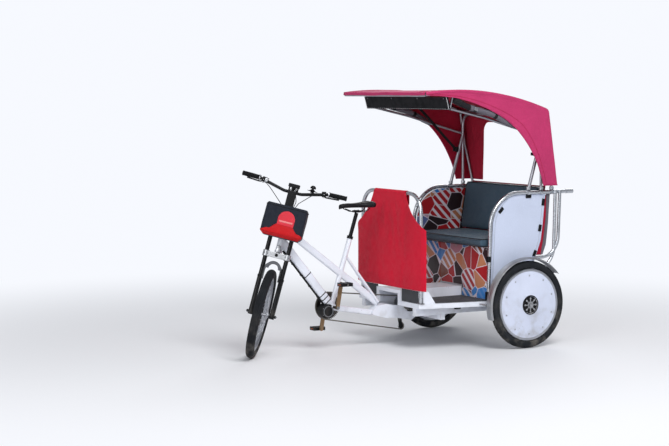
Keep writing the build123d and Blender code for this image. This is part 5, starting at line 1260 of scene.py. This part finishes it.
for s, name in SIDES:
    pedal = at(s * 0.142, CRANK_Y, HUB_Z) + crank_arm * s
    pins = [turned(pin_end, pedal + X * s * 0.039, X * s, 16)]
    for x in (-0.030, -0.010, 0.010, 0.030):
        for y in (-0.040, 0.040):
            pins += [turned(stud, pedal + Vector((x, y, z * 0.011)), Z * z, 8) for z in (-1, 1)]
    fitting("pedal_pins_" + name, pins, "pedal_body_" + name, zinc)
    lights = [slab(pedal + Y * e * 0.0462, (0.036, 0.003, 0.009), edge=0.0008) for e in (-1, 1)]
    fitting("pedal_reflectors_" + name, lights, "pedal_body_" + name, amber)


# Chains: side plates and rollers laid along the same tangents and arcs as the drive


def pitch_radius(teeth):
    return 0.0127 / (2 * math.sin(math.pi / teeth))


def chain_links(wheels, x):
    """Plates of a chain round wheels given as (y, z, radius, turn)."""
    spans = []
    for first, second in zip(wheels, wheels[1:] + wheels[:1]):
        dy, dz = second[0] - first[0], second[1] - first[1]
        gap = second[3] * second[2] - first[3] * first[2]
        heading = math.atan2(dz, dy) - math.asin(gap / math.hypot(dy, dz))
        left = (-math.sin(heading), math.cos(heading))
        spans.append([tuple(w[i] - w[3] * w[2] * left[i] for i in (0, 1)) for w in (first, second)])
    track = []
    for index, (begin, end) in enumerate(spans):
        track += list(np.linspace(begin, end, 60))
        y, z, radius, way = wheels[(index + 1) % len(wheels)]
        leave = spans[(index + 1) % len(spans)][0]
        a0, a1 = math.atan2(end[1] - z, end[0] - y), math.atan2(leave[1] - z, leave[0] - y)
        swing = (a1 - a0) % (2 * math.pi) if way > 0 else -((a0 - a1) % (2 * math.pi))
        turns = np.linspace(a0, a0 + swing, 60)[1:-1]
        track += [(y + radius * math.cos(a), z + radius * math.sin(a)) for a in turns]
    track = np.array(track + track[:1])
    spots = [at(x, *spot) for spot in resample(track, 2 * round(path_runs(track)[-1] / 0.0254) + 1)]
    roller = [(0.0001, -0.0056), (0.0019, -0.0056), (0.0019, 0.0056), (0.0001, 0.0056)]
    shapes = []
    for k, (a, b) in enumerate(zip(spots, spots[1:])):
        along = (b - a).normalized()
        reach = 0.0049 if k % 2 else 0.0036
        for s in (-1, 1):
            plate = (a + b) / 2 + X * s * reach
            shapes.append(slab(plate, (0.0196, 0.0076, 0.001), (along, X.cross(along), X), 0))
        shapes.append(turned(roller, a, X, 8))
    return shapes


JACK_Y, JACK_Z = -0.655, 0.298
drive_wheels = [
    (CRANK_Y, HUB_Z, pitch_radius(48), -1),
    (JACK_Y, JACK_Z, pitch_radius(24), -1),
    (JACK_Y - 0.012, JACK_Z - 0.082, pitch_radius(11), 1),
    (JACK_Y + 0.006, JACK_Z - 0.172, pitch_radius(11), -1),
]
piece("drive_links", chain_links(drive_wheels, -0.050), "chassis", steel, sharp=30)
final_wheels = [(JACK_Y, JACK_Z, pitch_radius(18), -1), (0.0, HUB_Z, pitch_radius(22), -1)]
piece("final_links", chain_links(final_wheels, 0.058), "chassis", steel, sharp=30)

# Frame fittings: tube clamps, arm plugs, hoop feet, blocks, bands on the down tube, valves and nipples
arm_plug = [(0.0001, 0.004), (0.010, 0.0035), (0.0148, 0.001), (0.0148, -0.004)]
clamps, dark_clamps, feet = [], [], []
for side in (-1, 1):
    for y in (0.088, 0.203, 0.298):
        clamps.append(ring(at(side * SIDE_X, y, ARM_Z), Y, CLAMP_R, 0.0180, 0.012))
        clamps.append(bolt(at(side * 0.5085, y, ARM_Z), X * side, 0.0045, 0.004))
        clamps.append(ring(at(side * SIDE_X, y + 0.001, 1.134), Z, 0.0105, 0.0160, 0.010))
    for y in (0.354, 0.313):
        clamps.append(ring(at(side * 0.5163, y, 1.108), Z, 0.0123, 0.0142, 0.010))
    dark_clamps.append(ring(at(side * SIDE_X, 0.139, 1.386), (0, 0.27, 1), 0.0122, 0.0168, 0.017))
    dark_clamps.append(slab(at(side * SIDE_X, 0.120, 1.382), (0.014, 0.020, 0.022), edge=0.003))
    dark_clamps.append(turned(arm_plug, at(side * SIDE_X, 0.488, ARM_Z), Y, 24))
    feet.append(slab(at(side * HOOP_X, HOOP_Y, 0.3443), (0.058, 0.032, 0.005), edge=0.002))
    feet += [bolt(at(side * HOOP_X + dx, HOOP_Y, 0.3468), Z, 0.0045, 0.004) for dx in (-0.021, 0.021)]
fitting("tube_clamps", clamps, "chassis", bright)
fitting("dark_clamps", dark_clamps, "chassis", black_plastic)
blocks = [slab(at(x, -0.632, 0.262), (0.026, 0.044, 0.034), edge=0.003) for x in (-0.050, 0.050)]
blocks += [slab(at(x, -0.462, 0.296), (0.024, 0.046, 0.016), edge=0.003) for x in (-0.400, 0.400)]
fitting("mount_blocks", blocks, "chassis", black_plastic)
fitting("hoop_feet", feet, "chassis", zinc)
down_end = at(0, CRANK_Y, HUB_Z)
tube_run = (down_end - steered(0, 0, 0.524)).normalized()
tube_up = tube_run.cross(X)
bands = []
for place in (0.055, 0.088, 0.121, 0.31):
    outward = []
    for a in round_turns(32):
        wide, high = 0.0217 * signed(math.cos(a), 0.42), 0.0317 * signed(math.sin(a), 0.42)
        outward.append(X * wide + tube_up * high)
    loop = [down_end - tube_run * place + out for out in outward]
    bands.append(pipe(loop, 0.0007, 8, 0.007, outward, closed=True))
fitting("down_tube_bands", bands, "chassis", black_plastic)
stem = [(0.0001, 0.041), (0.0028, 0.040), (0.0034, 0.026), (0.0026, 0.025), (0.0026, 0.0)]
nipple = [(0.0022, 0.0), (0.0022, -0.009), (0.0016, -0.010)]
for name, hub, axle, body, node in WHEELS:
    axis, u, v = across(axle)
    spoke = u * math.cos(0.9) + v * math.sin(0.9)
    fitting("valve_" + name, turned(stem, hub + spoke * 0.242, -spoke, 12), body, grip_rubber)
    nuts = [turned(nipple, hub + spoke * 0.2395, spoke, 8) for spoke in fan(u, v, 28)]
    fitting("nipples_" + name, nuts, body, zinc)

bpy.context.view_layer.update()

# Stage, lamps and world
ground = bpy.data.meshes.new("ground")
ground.from_pydata([(-40, -40, 0), (40, -40, 0), (40, 40, 0), (-40, 40, 0)], [], [(0, 1, 2, 3)])
ground.materials.append(floor_skin.material)
add("ground", ground)

for name, place, look, size, watts in (
    ("key", (5.5, -1.0, 6.5), (0, 0, 0.8), 4.0, 450),
    ("fill", (4.5, -8.0, 3.2), (0, -0.2, 0.8), 5.0, 230),
    ("rear", (-5.0, 5.0, 5.0), (0, 0, 1.0), 4.0, 160),
):
    lamp = add(name, bpy.data.lights.new(name, "AREA"))
    lamp.data.shape = "DISK"
    lamp.data.size = size
    lamp.data.energy = watts
    lamp.location = place
    lamp.rotation_euler = (Vector(look) - Vector(place)).to_track_quat("-Z", "Y").to_euler()

world = bpy.data.worlds.new("studio")
bpy.context.scene.world = world
world.use_nodes = True
tree = world.node_tree
rays = add_node(tree, "LightPath")
seen = {0: rays["Is Camera Ray"], 1: rays["Is Transmission Ray"]}
either = add_node(tree, "Math", seen, operation="MAXIMUM")[0]
level = add_node(tree, "MapRange", {"Value": either, "To Min": 0.44, "To Max": 1.0})["Result"]
backdrop = tree.nodes["Background"]
feed(tree, HAZE, backdrop.inputs["Color"])
feed(tree, level, backdrop.inputs["Strength"])
